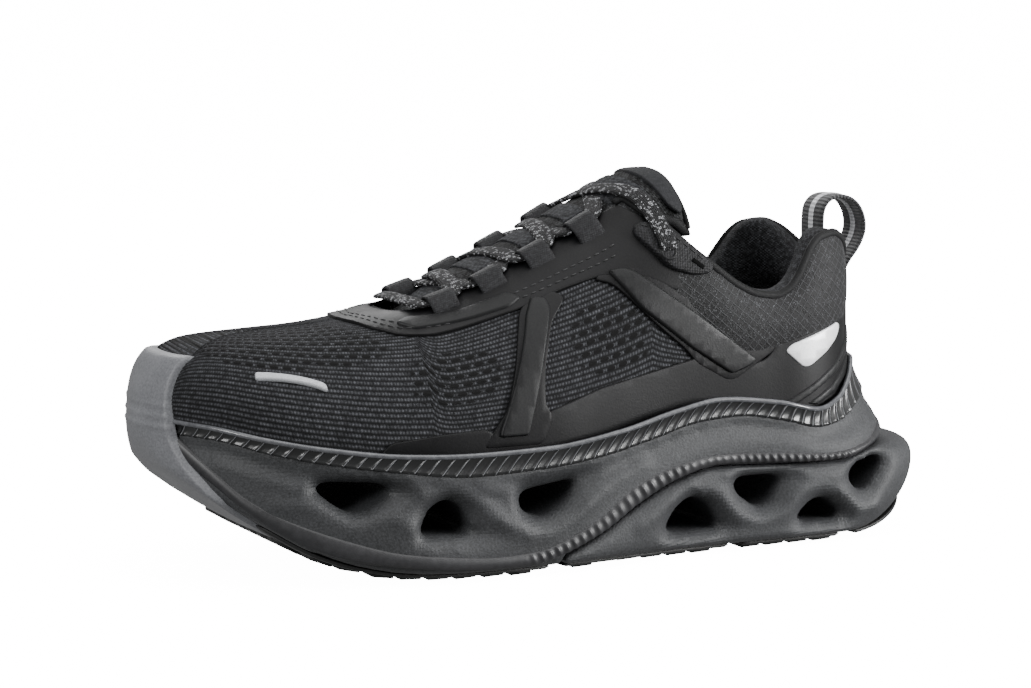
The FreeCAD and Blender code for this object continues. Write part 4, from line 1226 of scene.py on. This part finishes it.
band = {"pitch": 5.0, "lean": 0.85, "ridge": 0.55, "inset": 0.55}
ribCount = int(round(soleRun[-1] / band["pitch"]))
perRib = np.array([0.0, 0.045, 0.08, 0.115, 0.16, 0.42, 0.72])
ribHeights = np.array([0.0, 0.75, 1.0, 0.75, 0.1, 0.0, 0.0])


def bandPlace(c, r):
    k = np.rint(c * ribCount * len(perRib)).astype(int)
    run = (k // len(perRib) + perRib[k % len(perRib)]) * soleRun[-1] / ribCount
    bump = ribHeights[k % len(perRib)]
    base = wallPoint(run, 0 * run, ring, out, soleRun, 0)
    low, high = bandZ(base[:, 0]) + 0.1, rimTop(base[:, 0]) - 0.3
    hand = np.where(base[:, 1] < 0, 1.0, -1.0)
    tall = (high - low) * r
    steep = smoothStep(60, 100, base[:, 0])
    ends = (smoothStep(-150, -138, base[:, 0]), smoothStep(140, 118, base[:, 0]))
    shift = tall * band["lean"] * (1 - 0.75 * steep) * hand * ends[0] * ends[1]
    at = wallPoint(run + shift, 0 * run, ring, out, soleRun, 0)
    low, high = bandZ(at[:, 0]) + 0.1, rimTop(at[:, 0]) - 0.3
    z = low + (high - low) * r
    taper = leanAt(run + shift, at[:, 0], z)
    hollow = 0.7 * np.sin(math.pi * r)
    fade = smoothStep(0, 0.08, r) * smoothStep(1, 0.92, r) * (1 - 0.85 * smoothStep(98, 128, at[:, 0]))
    inset = band["inset"] + hollow - bump * band["ridge"] * fade + taper
    inset = np.where(r < 0.001, 1.6 + taper, inset)
    return wallPoint(run + shift, z, ring, out, soleRun, inset)


def ribPaintedHighlightShare(c, r, p):
    # the share of painted highlight on each rib, from its height, faded at the band's top and bottom
    k = np.rint(c * ribCount * len(perRib)).astype(int)
    return ribHeights[k % len(perRib)] * smoothStep(0, 0.12, r) * smoothStep(1, 0.88, r)


bandBm = gridShape(ribCount * len(perRib), 10, bandPlace, weight=ribPaintedHighlightShare, merge=0.02)
bmesh.ops.recalc_face_normals(bandBm, faces=bandBm.faces[:])
bandPiece = finishPiece("ribbedBand", bandBm, "ribBand")
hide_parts("rim_band")

lipRun = np.linspace(0, soleRun[-1], 420, endpoint=False)
lipBase = wallPoint(lipRun, 0 * lipRun, ring, out, soleRun, 0)
lipZ = rimTop(lipBase[:, 0]) - 0.1
lipTaper = leanAt(lipRun, lipBase[:, 0], lipZ)
lipPath = wallPoint(lipRun, lipZ, ring, out, soleRun, 0.75 + lipTaper)
lipPath = np.vstack([lipPath, lipPath[:1]])
lipShape = sweptShape(lipPath, ellipseRing(1.9, 1.9, 10), [(0, 0, 1)] * len(lipPath), closed=True)
# the lip's lighter grey is a painted highlight along the top edge of the rim
lipPiece = finishPiece("rimLip", lipShape, "lip")
print("rim band ready")

lowerTop = smoothCurve([(-150, 60), (-142, 50), (-135, 42), (-125, 32), (-110, 24), (-94, 18), (-77, 13),
                        (-63, 11), (-40, 9.2), (-25, 10), (-12, 13.5), (0, 19), (17, 30), (35, 35.5),
                        (52, 37.5), (77, 36.5), (103, 34.5), (117, 36), (125, 39), (140, 46)])
lowerLow = smoothCurve([(-150, 52), (-142, 43), (-133, 34), (-125, 26), (-110, 16), (-94, 10), (-77, 7),
                        (-59, 5), (-40, 4), (-29, 4), (-16, 6.4), (-4, 10.5), (5, 14.5), (17, 21.5),
                        (35, 29.5), (52, 33), (77, 32), (94, 31.3), (107, 31.3), (122, 34), (140, 38)])
satin = {"columns": 1500, "pitch": 3.4, "rib": 0.55}


def satinPlace(c, r):
    run = c * soleRun[-1]
    base = wallPoint(run, 0 * run, ring, out, soleRun, 0)
    low, high = lowerLow(base[:, 0]), lowerTop(base[:, 0])
    z = low + (high - low) * r
    crown = np.sin(math.pi * r) ** 0.6
    ribbed = smoothStep(-32, -22, base[:, 0]) * smoothStep(114, 106, base[:, 0])
    calm = 1 - 0.8 * smoothStep(34, 42, base[:, 0]) * smoothStep(64, 56, base[:, 0])
    lean = run + (z - low) * 0.5
    wave = np.clip(np.cos(lean * 2 * math.pi / satin["pitch"]), -0.2, 1)
    taper = leanAt(run, base[:, 0], z)
    inset = 0.7 - 1.3 * crown - wave * satin["rib"] * ribbed * calm * crown + taper
    inset = np.where((r < 0.001) | (r > 0.999), 3.0, inset)
    return wallPoint(run, z, ring, out, soleRun, inset)


satinBm = gridShape(satin["columns"], 10, satinPlace, merge=0.02)
bmesh.ops.recalc_face_normals(satinBm, faces=satinBm.faces[:])
satinPiece = finishPiece("satinBand", satinBm, "foamBand")
print("satin band ready")


# rubber over the toe
bumper = {"thick": 2.4, "columns": 70, "rows": 80, "lines": (55.0, 58.5, 62.0), "line": 0.45}
toeRing = ring[ring[:, 0] < -90]
toeRing = toeRing[np.argsort(toeRing[:, 1])]


def bumperPlace(c, r):
    z = 15.5 + (79.0 - 15.5) * r
    # the strip narrows from under the toe to the top of it
    outer = np.interp(z, [15, 31, 36, 43, 51, 64, 71, 79], [-31, -29, -25, -19, -14, -11, -10.5, -10])
    inner = np.interp(z, [15, 31, 36, 43, 51, 64, 71, 79], [38, 37, 35, 32, 30, 28, 27, 26])
    y = outer + (inner - outer) * c
    wall = np.interp(y, toeRing[:, 1], toeRing[:, 0])
    under = np.interp(z - 3.4, [9.5, 17, 23.5, 30, 38, 49, 60], [-104, -117, -127, -136, -145, -152, -160])
    low, high = np.full(len(y), -160.0), np.full(len(y), -95.0)
    for turn in range(26):
        middle = (low + high) / 2
        past = (outside(np.stack([middle, y, z], 1)) > 1) | (middle < toeEnd)
        low, high = np.where(past, middle, low), np.where(past, high, middle)
    cloth = (low + high) / 2 + 0.4
    rim = smoothStep(54, 63, z)
    body = wall * (1 - rim) + cloth * rim
    blend = np.logaddexp(body / 1.6, under / 1.6) * 1.6
    thick = np.full(len(y), bumper["thick"])
    for line in bumper["lines"]:
        thick += bumper["line"] * np.exp(-((z - line) / 0.55) ** 2)
    edge = np.minimum(np.minimum(c, 1 - c) * 60, np.minimum(r, 1 - r) * 80)
    thick *= np.clip(edge / 2.0, 0, 1) ** 0.5 * 1.15 - 0.15
    p = np.stack([blend, y, z], 1)
    away = p - np.array([-95.0, 6.0, 58.0])
    away /= np.linalg.norm(away, axis=1)[:, None]
    return p + away * thick[:, None]


bumperBm = gridShape(bumper["columns"], bumper["rows"], bumperPlace)
bmesh.ops.recalc_face_normals(bumperBm, faces=bumperBm.faces[:])
bumperBm.normal_update()
bumperPiece = finishPiece("toeBumper", bumperBm, "toeRubber", turn=sum(f.normal.x for f in bumperBm.faces) > 0)
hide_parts("toe_bumper")
print("bumper ready")

# tongue
tongue = {
    "half": 21.0, "topHalf": 19.0, "front": -69.0, "sink": 4.3, "thick": 5.6, "columns": 120, "around": 56,
    "crownX": [0, 13, 22, 30, 38, 46, 52, 60],
    "crownZ": [117.0, 124.0, 129.0, 134.5, 137.5, 137.6, 134.5, 128.0],
}


def tongueHalf(x):
    halves = [14, tongue["half"], tongue["half"], tongue["topHalf"] + 4.0, 24.0, 24.5]
    return np.interp(x, [-70, -60, 24, 36, 50, 75], halves)


def tongueEnd(across):
    return 49.5 + 2.0 * np.abs(across) ** 2.0


def tongueFace(x, across, lift):
    # a point on the tongue: across runs from -1 to 1, lift is measured from its upper face
    y = across * tongueHalf(x)
    rise = 6.4 * (1 - across ** 4) * smoothStep(-60, -30, x)
    laid = fromAbove(x, y, lift + rise - tongue["sink"])
    # above the throat it stands free as an arched sheet
    crown = np.interp(x, tongue["crownX"], tongue["crownZ"])
    fall = np.interp(x, [10, 30, 50], [8.0, 19.0, 28.0])
    slope = 0.95 * across
    level = np.sqrt(1 - slope ** 2)
    arched = np.stack([x, y + slope * lift, crown - fall * (1 - level) + level * lift], 1)
    free = smoothStep(4, 28, x)[:, None]
    return laid * (1 - free) + arched * free


def tonguePlace(c, r):
    turn = 2 * math.pi * r
    cs, sn = np.cos(turn), np.sin(turn)
    across = np.sign(cs) * np.abs(cs) ** 0.55
    tall = np.sign(sn) * np.abs(sn) ** 0.62
    along = 1 - (1 - c) ** 1.15
    x = tongue["front"] + (tongueEnd(across) - tongue["front"]) * along
    taper = np.clip(1 - ((np.clip(c, 0.93, 1) - 0.93) / 0.07) ** 2, 0, 1) ** 0.5 * np.clip(c / 0.04, 0.15, 1)
    quilt = 0.35 * np.cos(across * 5 * math.pi) * smoothStep(30, 40, x)
    lift = -tongue["thick"] / 2 + (tongue["thick"] / 2 + quilt * (tall > 0)) * tall * taper
    return tongueFace(x, across * 0.985, lift)


tongueBm = gridShape(tongue["columns"], tongue["around"], tonguePlace, merge=0.02)
bmesh.ops.holes_fill(tongueBm, edges=[e for e in tongueBm.edges if e.is_boundary], sides=0)
bmesh.ops.recalc_face_normals(tongueBm, faces=tongueBm.faces[:])
tonguePiece = finishPiece("tonguePad", tongueBm, "tongueMesh", "tongue")
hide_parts("tongue_pad", "tongue_lining", "tongue_cloth")


def tonguePatch(name, corners, lift, material, replaced=None, radius=2.0):
    # corners are x and the share of the tongue's half width
    outline = roundedOutline([(x, s * 20) for x, s in corners], radius)
    bm = filmShape(outline, lift, lambda x, s, h: tongueFace(x, s / 20, h), -0.3, 0.6, 2.5)
    finishFilm(name, bm, material, replaced, "tongue")


tonguePatch("tongueTip", [(43, -0.93), (49.8, -0.93), (49.4, -0.5), (48.4, 0), (49.4, 0.5), (49.8, 0.93),
                          (43, 0.93), (37, 0.45), (35.5, 0), (37, -0.45)], 0.9,
            "tongueTip", "tongue_patch", 3.0)
tonguePatch("tongueWovenBand", [(25, -0.95), (38.5, -0.95), (33.5, -0.45), (31.5, 0), (33.5, 0.45),
                                (38.5, 0.95), (25, 0.95), (21, 0.4), (20, 0),
                                (21, -0.4)], 0.6, "tongueWoven",
            "tongue_band", 1.0)
for number, (start, end) in enumerate(((-47, -39), (-28.5, -20), (-10, -1.5), (7, 15))):
    tonguePatch(f"placket.{number}", [(start, -0.55), (end, -0.55), (end, 0.55), (start, 0.55)], 0.7,
                "tongueWoven",
                radius=1.2)
edgeShare = np.linspace(-1, 1, 61)
edgeX = np.concatenate([np.linspace(-20, 51, 60), tongueEnd(edgeShare), np.linspace(51, -20, 60)])
edgeAcross = np.concatenate([np.full(60, -1.0), edgeShare, np.full(60, 1.0)])
edgeX = np.minimum(edgeX, tongueEnd(edgeAcross))
edgePath = evenly(tongueFace(edgeX, edgeAcross * 0.985, np.full(len(edgeX), -tongue["thick"] / 2)), 200)
edgeShape = sweptShape(edgePath, ellipseRing(2.4, 4.4, 12), [(0, 0, 1)] * len(edgePath))
edgePiece = finishPiece("tongueBoundEdge", edgeShape, "binding", "tongue")
print("tongue ready")

# lace, in rows through the tabs, and its free ends inside the shoe
lacing = {"starts": [-51.0, -33.0, -14.5, 4.5], "length": 9.0, "y": 18.0, "share": 0.4, "width": 7.0,
          "thick": 2.0,
          "crossing": 1.1, "eyeletX": 36.0, "eyeletShare": 0.82, "over": 3.3}


def shareFace(x, share, hand):
    p = onFace(np.array([float(x)]), np.array([math.acos(min(1.0, share ** (power / 2)))]), hand)
    return p[0]


def eyeletOf(hand):
    way = np.array([0, 0.75 * hand, 0.66])
    return shareFace(lacing["eyeletX"], lacing["eyeletShare"], hand), way / np.linalg.norm(way)


def tabLine(start, hand):
    ends = [shareFace(x, lacing["share"], -1) for x in (start, start + lacing["length"])]
    return [np.array([p[0], hand * lacing["y"], p[2] + lacing["over"]]) for p in ends]


def laceRoute(hand, crossing):
    rows = []
    for row, start in enumerate(lacing["starts"]):
        first, last = tabLine(start, hand if row % 2 == 0 else -hand)
        along = (last - first) / lacing["length"] * 2.0
        rows.append((first - along, last + along))
    front = rows[0][0]
    route = [np.array([front[0] - 2.5, 0, front[2] + 1.0]),
             np.array([front[0] - 2.2, hand * 7.0, front[2] + 1.0]),
             np.array([front[0] - 1.5, hand * 14.0, front[2] + 0.4])]
    for row, (enter, leave) in enumerate(rows):
        route += [enter, (enter + leave) / 2, leave]
        if row + 1 < len(rows):
            after = rows[row + 1][0]
            for share in (0.25, 0.5, 0.75):
                rise = crossing + 2.0 - 8 * (share - 0.5) ** 2
                route.append(leave + (after - leave) * share + np.array([0, 0, rise]))
    place, way = eyeletOf(hand)
    top = shareFace(22.5, 0, hand)
    route.append(top + np.array([0, 0, 1.8 + crossing]))
    route.append(shareFace(30, 0.5, hand) + np.array([0, 0, 4.6]))
    route.append(shareFace(34, 0.74, hand) + np.array([0, 0.8 * hand, 5.2]))
    return route + [place + way * 4.2, place + way * 0.5, place - way * 4.0]


for sideName, hand in sides:
    path = splineThrough(laceRoute(hand, -hand * lacing["crossing"]), 330)
    up = outward(path)
    up[:, 2] += 0.4
    for turn in range(30):
        up[1:-1] = (up[:-2] + up[1:-1] * 2 + up[2:]) / 4
    ribbon = sweptShape(path, ellipseRing(lacing["width"], lacing["thick"], 16, 2.6), up)
    lacePiece = finishPiece(f"laceRows.{sideName}", ribbon, "lace")
    if hand < 0:
        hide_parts("lace")
print("laces ready")

tab = {"width": 10.5, "thick": 1.3}


def tabShape(start, hand):
    # a folded tape that comes up from under the eyestay, over the lace and back down into the throat
    first, last = tabLine(start, hand)
    ahead = (last - first) / np.linalg.norm(last - first)
    centre = (first + last) / 2
    up = np.cross(ahead, np.array([0, 1.0, 0]))
    up = up if up[2] > 0 else -up
    profile = [(6.4, -6.4), (5.8, -3.4), (4.6, -0.4), (2.4, 1.7), (-0.6, 2.1), (-3.2, 1.1), (-4.8, -1.2),
               (-5.0, -3.6), (-3.6, -5.4)]
    route = [centre + np.array([0, hand * a, 0]) + up * b for a, b in profile]
    line = splineThrough(route, 34)
    ahead2 = np.gradient(line, axis=0)
    normal = np.cross(ahead2, ahead)
    normal /= np.linalg.norm(normal, axis=1)[:, None]
    return sweptShape(line, ellipseRing(tab["width"], tab["thick"], 14, 5.0), normal)


for sideName, hand in sides:
    for number, start in enumerate(lacing["starts"]):
        piece = finishPiece(f"laceTab.{sideName}.{number}", tabShape(start, hand), "tab")
        if number == 0:
            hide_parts(f"lace_loops_{sideName}")

laceEnd = [(35.3, 27.3, 95.5), (34, 29.3, 87), (31.5, 31, 77), (28, 32, 66.5), (21, 31.5, 58),
           (11, 30, 52.9), (-1, 26.5, 50.3), (-15, 24, 48.3), (-29, 25, 47.1), (-43, 27.5, 46.8),
           (-57, 26, 47.1), (-71, 21.5, 48.0), (-84, 18, 49.3)]
for sideName, hand, narrow, length in (("lateral", -1, 1.0, 0.1609), ("medial", 1, 0.9, 0.1603)):
    place, way = eyeletOf(hand)
    inside = [np.array([x, y * hand * narrow, z]) for x, y, z in laceEnd]
    points = [place - way * 5.0, place - way * 8.0] + inside
    curve = bpy.data.curves.new(f"laceEnd.{sideName}", "CURVE")
    curve.dimensions = "3D"
    curve.resolution_u = 12
    curve.bevel_depth = 1.6 * mm
    curve.bevel_resolution = 3
    curve.use_fill_caps = True
    spline = curve.splines.new("NURBS")
    spline.points.add(len(points) - 1)
    for point, p in zip(spline.points, points):
        point.co = (*(p * mm), 1.0)
    spline.order_u = 3
    spline.use_endpoint_u = True
    curve.materials.append(look["laceEnd"])
    freeEnd = bpy.data.objects.new(f"laceEnd.{sideName}", curve)
    bpy.context.collection.objects.link(freeEnd)
    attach(freeEnd, "shoe")
    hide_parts(f"lace_end_{sideName}")
print("tabs and free ends ready")

# pull loop at the heel
pullLoop = {"route": [(117, 99.5), (116.6, 108), (116.4, 115.5), (117, 121.5), (121, 125.2), (128.5, 125),
                      (133.6, 120.5), (135.6, 113), (132.8, 106), (127, 99.5), (124.2, 93)],
            "width": 15.5, "thick": 1.7}
loopLine = splineThrough([(x, 0, z) for x, z in pullLoop["route"]], 260)
loopNormal = np.cross(np.gradient(loopLine, axis=0), np.array([0, 1.0, 0]))
loopNormal /= np.linalg.norm(loopNormal, axis=1)[:, None]


def webbingShape(width, thick):
    return sweptShape(loopLine, ellipseRing(width, thick, 18, 5.0), loopNormal)


webbing = finishPiece("pullLoopWebbing", webbingShape(pullLoop["width"], pullLoop["thick"]), "webbing", None)
stripe = finishPiece("pullLoopStripe", webbingShape(3.6, pullLoop["thick"] + 0.5), "stripe", None)
for piece in (webbing, stripe):
    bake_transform(piece)
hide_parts("pull_loop")
print("pull loop ready")

# outsole pads with lugs
tread = {
    "gap": 1.6, "size": 8.6, "inset": 5.0, "margin": 1.2,
    "pads": {"forefoot": (-120.5, -18.0), "midfoot": (-13.0, 59.0), "heel": (64.0, 107.0),
             "heel_bevel": (113.0, 144.0)},
}
treadRing = wedgeRing - wedgeOut * tread["inset"]
treadOuter = treadRing[treadRing[:, 1] < 0]
treadInner = treadRing[treadRing[:, 1] > 0]
treadOuter, treadInner = treadOuter[np.argsort(treadOuter[:, 0])], treadInner[np.argsort(treadInner[:, 0])]


def padShape(low, high):
    # a thin base that follows the tread line, with chevron lugs standing on its underside
    def lowY(px):
        return np.interp(px, treadOuter[:, 0], treadOuter[:, 1])

    def highY(px):
        return np.interp(px, treadInner[:, 0], treadInner[:, 1])

    columns = max(8, int((high - low) / 2.0))

    def place(c, r):
        px = low + (high - low) * c
        # the ends curve, and the section is a closed ring: wide underside, round edge, top
        turn = 2 * math.pi * r
        across = np.sign(np.cos(turn)) * np.abs(np.cos(turn)) ** 0.25
        tall = np.sign(np.sin(turn)) * np.abs(np.sin(turn)) ** 0.35
        middle, half = (lowY(px) + highY(px)) / 2, (highY(px) - lowY(px)) / 2
        end = np.clip(np.minimum(c, 1 - c) * (high - low) / 1.0, 0, 1) ** 0.5
        half = half - (1 - end) * 1.0
        return np.stack([px, middle + half * across, treadZ(px) + 2.4 + 1.1 * tall * (0.3 + 0.7 * end)], 1)
    bm = gridShape(columns, 96, place, merge=0.02)
    bmesh.ops.holes_fill(bm, edges=[e for e in bm.edges if e.is_boundary], sides=0)
    bmesh.ops.recalc_face_normals(bm, faces=bm.faces[:])
    step = tread["size"] + tread["gap"]
    rows = int((high - low - tread["gap"]) / step)
    start = low + ((high - low) - (rows * step - tread["gap"])) / 2
    for row in range(rows):
        px = start + row * step
        middle = px + tread["size"] / 2
        across = np.arange(lowY(middle) + 2.0, highY(middle) - 2.0 - 9.0, 10.6)
        spare = (highY(middle) - 2.0) - (across[-1] + 9.0) if len(across) else 0
        for y in across + spare / 2:
            lean = 1.6 if y + 4.5 < 0 else -1.6
            corners = [(px, y), (px + tread["size"], y + lean), (px + tread["size"], y + 9.0 + lean),
                       (px, y + 9.0)]
            nearest, farthest = min(p[1] for p in corners), max(p[1] for p in corners)
            if nearest < lowY(middle) + tread["margin"] or farthest > highY(middle) - tread["margin"]:
                continue
            verts = [bm.verts.new((a, b, float(treadZ(a)) + 0.05)) for a, b in corners]
            face = bm.faces.new(verts)
            top = bmesh.ops.extrude_face_region(bm, geom=[face])
            raised = [g for g in top["geom"] if isinstance(g, bmesh.types.BMVert)]
            bmesh.ops.translate(bm, verts=raised, vec=(0, 0, 1.9))
            edges = {e for v in verts for e in v.link_edges}
            lower = [e for e in edges if all(v in verts for v in e.verts)]
            bmesh.ops.bevel(bm, geom=lower, offset=0.5, segments=2, affect="EDGES", profile=0.5, material=-1)
    bmesh.ops.recalc_face_normals(bm, faces=bm.faces[:])
    return bm


for name, (low, high) in tread["pads"].items():
    padPiece = finishPiece(f"tread.{name}", padShape(low, high), "rubber")
    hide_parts(f"tread_{name}")
print("treads ready")


# stitching
stitch = {
    "length": 2.3, "gap": 1.1, "thick": 0.55, "stayLift": 1.05, "patchLift": 2.95,
    "stayRows": [[(-75.5, 0), (-74, 8), (-70, 20), (-64, 26.5), (-54, 29.8), (-40, 31), (-20, 32.4),
                  (0, 31.6), (20, 31.2)],
                 [(-73, 0), (-71.5, 8), (-67.5, 18), (-62, 24), (-52, 27.4), (-38, 28.6), (-18, 30),
                  (2, 29.2), (20, 28.8)]],
    "patchRow": [(28, 118.4), (36, 117.3), (44, 110.8), (51, 105.2)],
}


def stitchLine(name, points, normals):
    # short round-ended threads along a line that already lies on the surface
    bm = bmesh.new()
    points, normals = np.array(points, float), np.array(normals, float)
    run = np.concatenate([[0], np.cumsum(np.linalg.norm(np.diff(points, axis=0), axis=1))])
    step = stitch["length"] + stitch["gap"]
    for k in range(int(run[-1] / step)):
        at = (k + 0.5) * step
        place = np.array([np.interp(at, run, points[:, i]) for i in range(3)])
        after = np.array([np.interp(at + 0.5, run, points[:, i]) for i in range(3)])
        up = np.array([np.interp(at, run, normals[:, i]) for i in range(3)])
        ahead = (after - place) / np.linalg.norm(after - place)
        across = np.cross(up, ahead)
        across /= np.linalg.norm(across)
        up = np.cross(ahead, across)
        turn = Matrix([(ahead[i], across[i], up[i], place[i]) for i in range(3)] + [(0, 0, 0, 1)])
        made = bmesh.ops.create_uvsphere(bm, u_segments=6, v_segments=5, radius=0.5)["verts"]
        for v in made:
            v.co = turn @ Vector((v.co.z * stitch["length"], v.co.x * stitch["thick"],
                                  v.co.y * stitch["thick"]))
    piece = finishPiece(name, bm, "thread")


def aboveStitch(name, route, lift, count=160):
    line = splineThrough([(a, b, 0) for a, b in route], count)
    p = fromAbove(line[:, 0], line[:, 1], np.full(count, lift))
    stitchLine(name, p, outward(p))


def sideStitch(name, route, lift, hand, count=160):
    line = splineThrough([(a, 0, b) for a, b in route], count)
    p = fromSide(np.minimum(line[:, 0], heelEnd - 0.5), line[:, 2], float(hand), np.full(count, lift))
    stitchLine(name, p, outward(p))


for sideName, hand in sides:
    for number, row in enumerate(stitch["stayRows"]):
        aboveStitch(f"stayStitch.{sideName}.{number}", [(x, y * hand) for x, y in row], stitch["stayLift"])
    sideStitch(f"patchStitch.{sideName}", stitch["patchRow"], stitch["patchLift"], hand, 60)
print("stitches ready")

# eyelets
eyelet = {"inner": 2.3, "outer": 3.6, "rise": 2.3}
for sideName, hand in sides:
    place, way = eyeletOf(hand)
    way = outward(place[None, :])[0]
    ringBm = bmesh.new()
    side = np.cross(way, np.array([1.0, 0, 0]))
    side /= np.linalg.norm(side)
    ahead = np.cross(side, way)
    profile = [(eyelet["outer"], 0.2), (3.3, 0.75), (2.9, 0.95), (2.5, 0.8), (eyelet["inner"], 0.3),
               (eyelet["inner"], -1.0)]
    turns = np.linspace(0, 2 * math.pi, 28, endpoint=False)
    loops = []
    for radius, rise in profile:
        verts = [ringBm.verts.new(place + ahead * radius * math.cos(t) + side * radius * math.sin(t)
                                  + way * (rise + eyelet["rise"])) for t in turns]
        loops.append([ringBm.edges.new((a, b)) for a, b in zip(verts, verts[1:] + verts[:1])])
    for low, high in zip(loops, loops[1:]):
        bmesh.ops.bridge_loops(ringBm, edges=low + high)
    bmesh.ops.recalc_face_normals(ringBm, faces=ringBm.faces[:])
    ringPiece = finishPiece(f"eyeletRing.{sideName}", ringBm, "filmRaised")
    slotCentre = fromSide(np.array([47.0]), np.array([105.2]), float(hand), np.array([3.0]))[0]
    slotOut = outward(slotCentre[None, :])[0]
    slotAlong = np.array([0.8, 0.0, -0.6])
    slotAlong -= slotOut * np.dot(slotAlong, slotOut)
    slotAlong /= np.linalg.norm(slotAlong)
    slotPath = [slotCentre + slotAlong * t for t in np.linspace(-2.6, 2.6, 12)]
    slotShape = sweptShape(slotPath, ellipseRing(1.7, 0.5, 12), [slotOut] * 12)
    slotPiece = finishPiece(f"spareEyelet.{sideName}", slotShape, "hole")
print("eyelets ready")

# CAD parts that stay as they are get their own finish
stays = {"lasting_board": "board", "insole": "softFoam", "insole_cloth": "insoleCloth", "toe_puff": "stiffener",
         "heel_counter": "stiffener", "aglet_lateral": "aglet", "aglet_medial": "aglet"}
for name, finish in stays.items():
    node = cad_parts[name]
    node.data.materials.clear()
    node.data.materials.append(look[finish])

# floor
floorBm = bmesh.new()
bmesh.ops.create_grid(floorBm, x_segments=2, y_segments=2, size=40000.0)
floorMaterial, _, floorShader = newMaterial("paperSweep", Roughness=0.9)
floorShader.inputs["Base Color"].default_value = linear(studio["floor"])
floorShader.inputs["Emission Color"].default_value = linear(studio["floor"])
floorShader.inputs["Emission Strength"].default_value = studio["floorGlow"]
look["floor"] = floorMaterial
floor = finishPiece("floor", floorBm, "floor", None)
floor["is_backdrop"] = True
# the bright sheet is seen, but the dark shoe doesn't mirror it
floor.visible_glossy = False
floor.visible_diffuse = False

low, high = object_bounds()
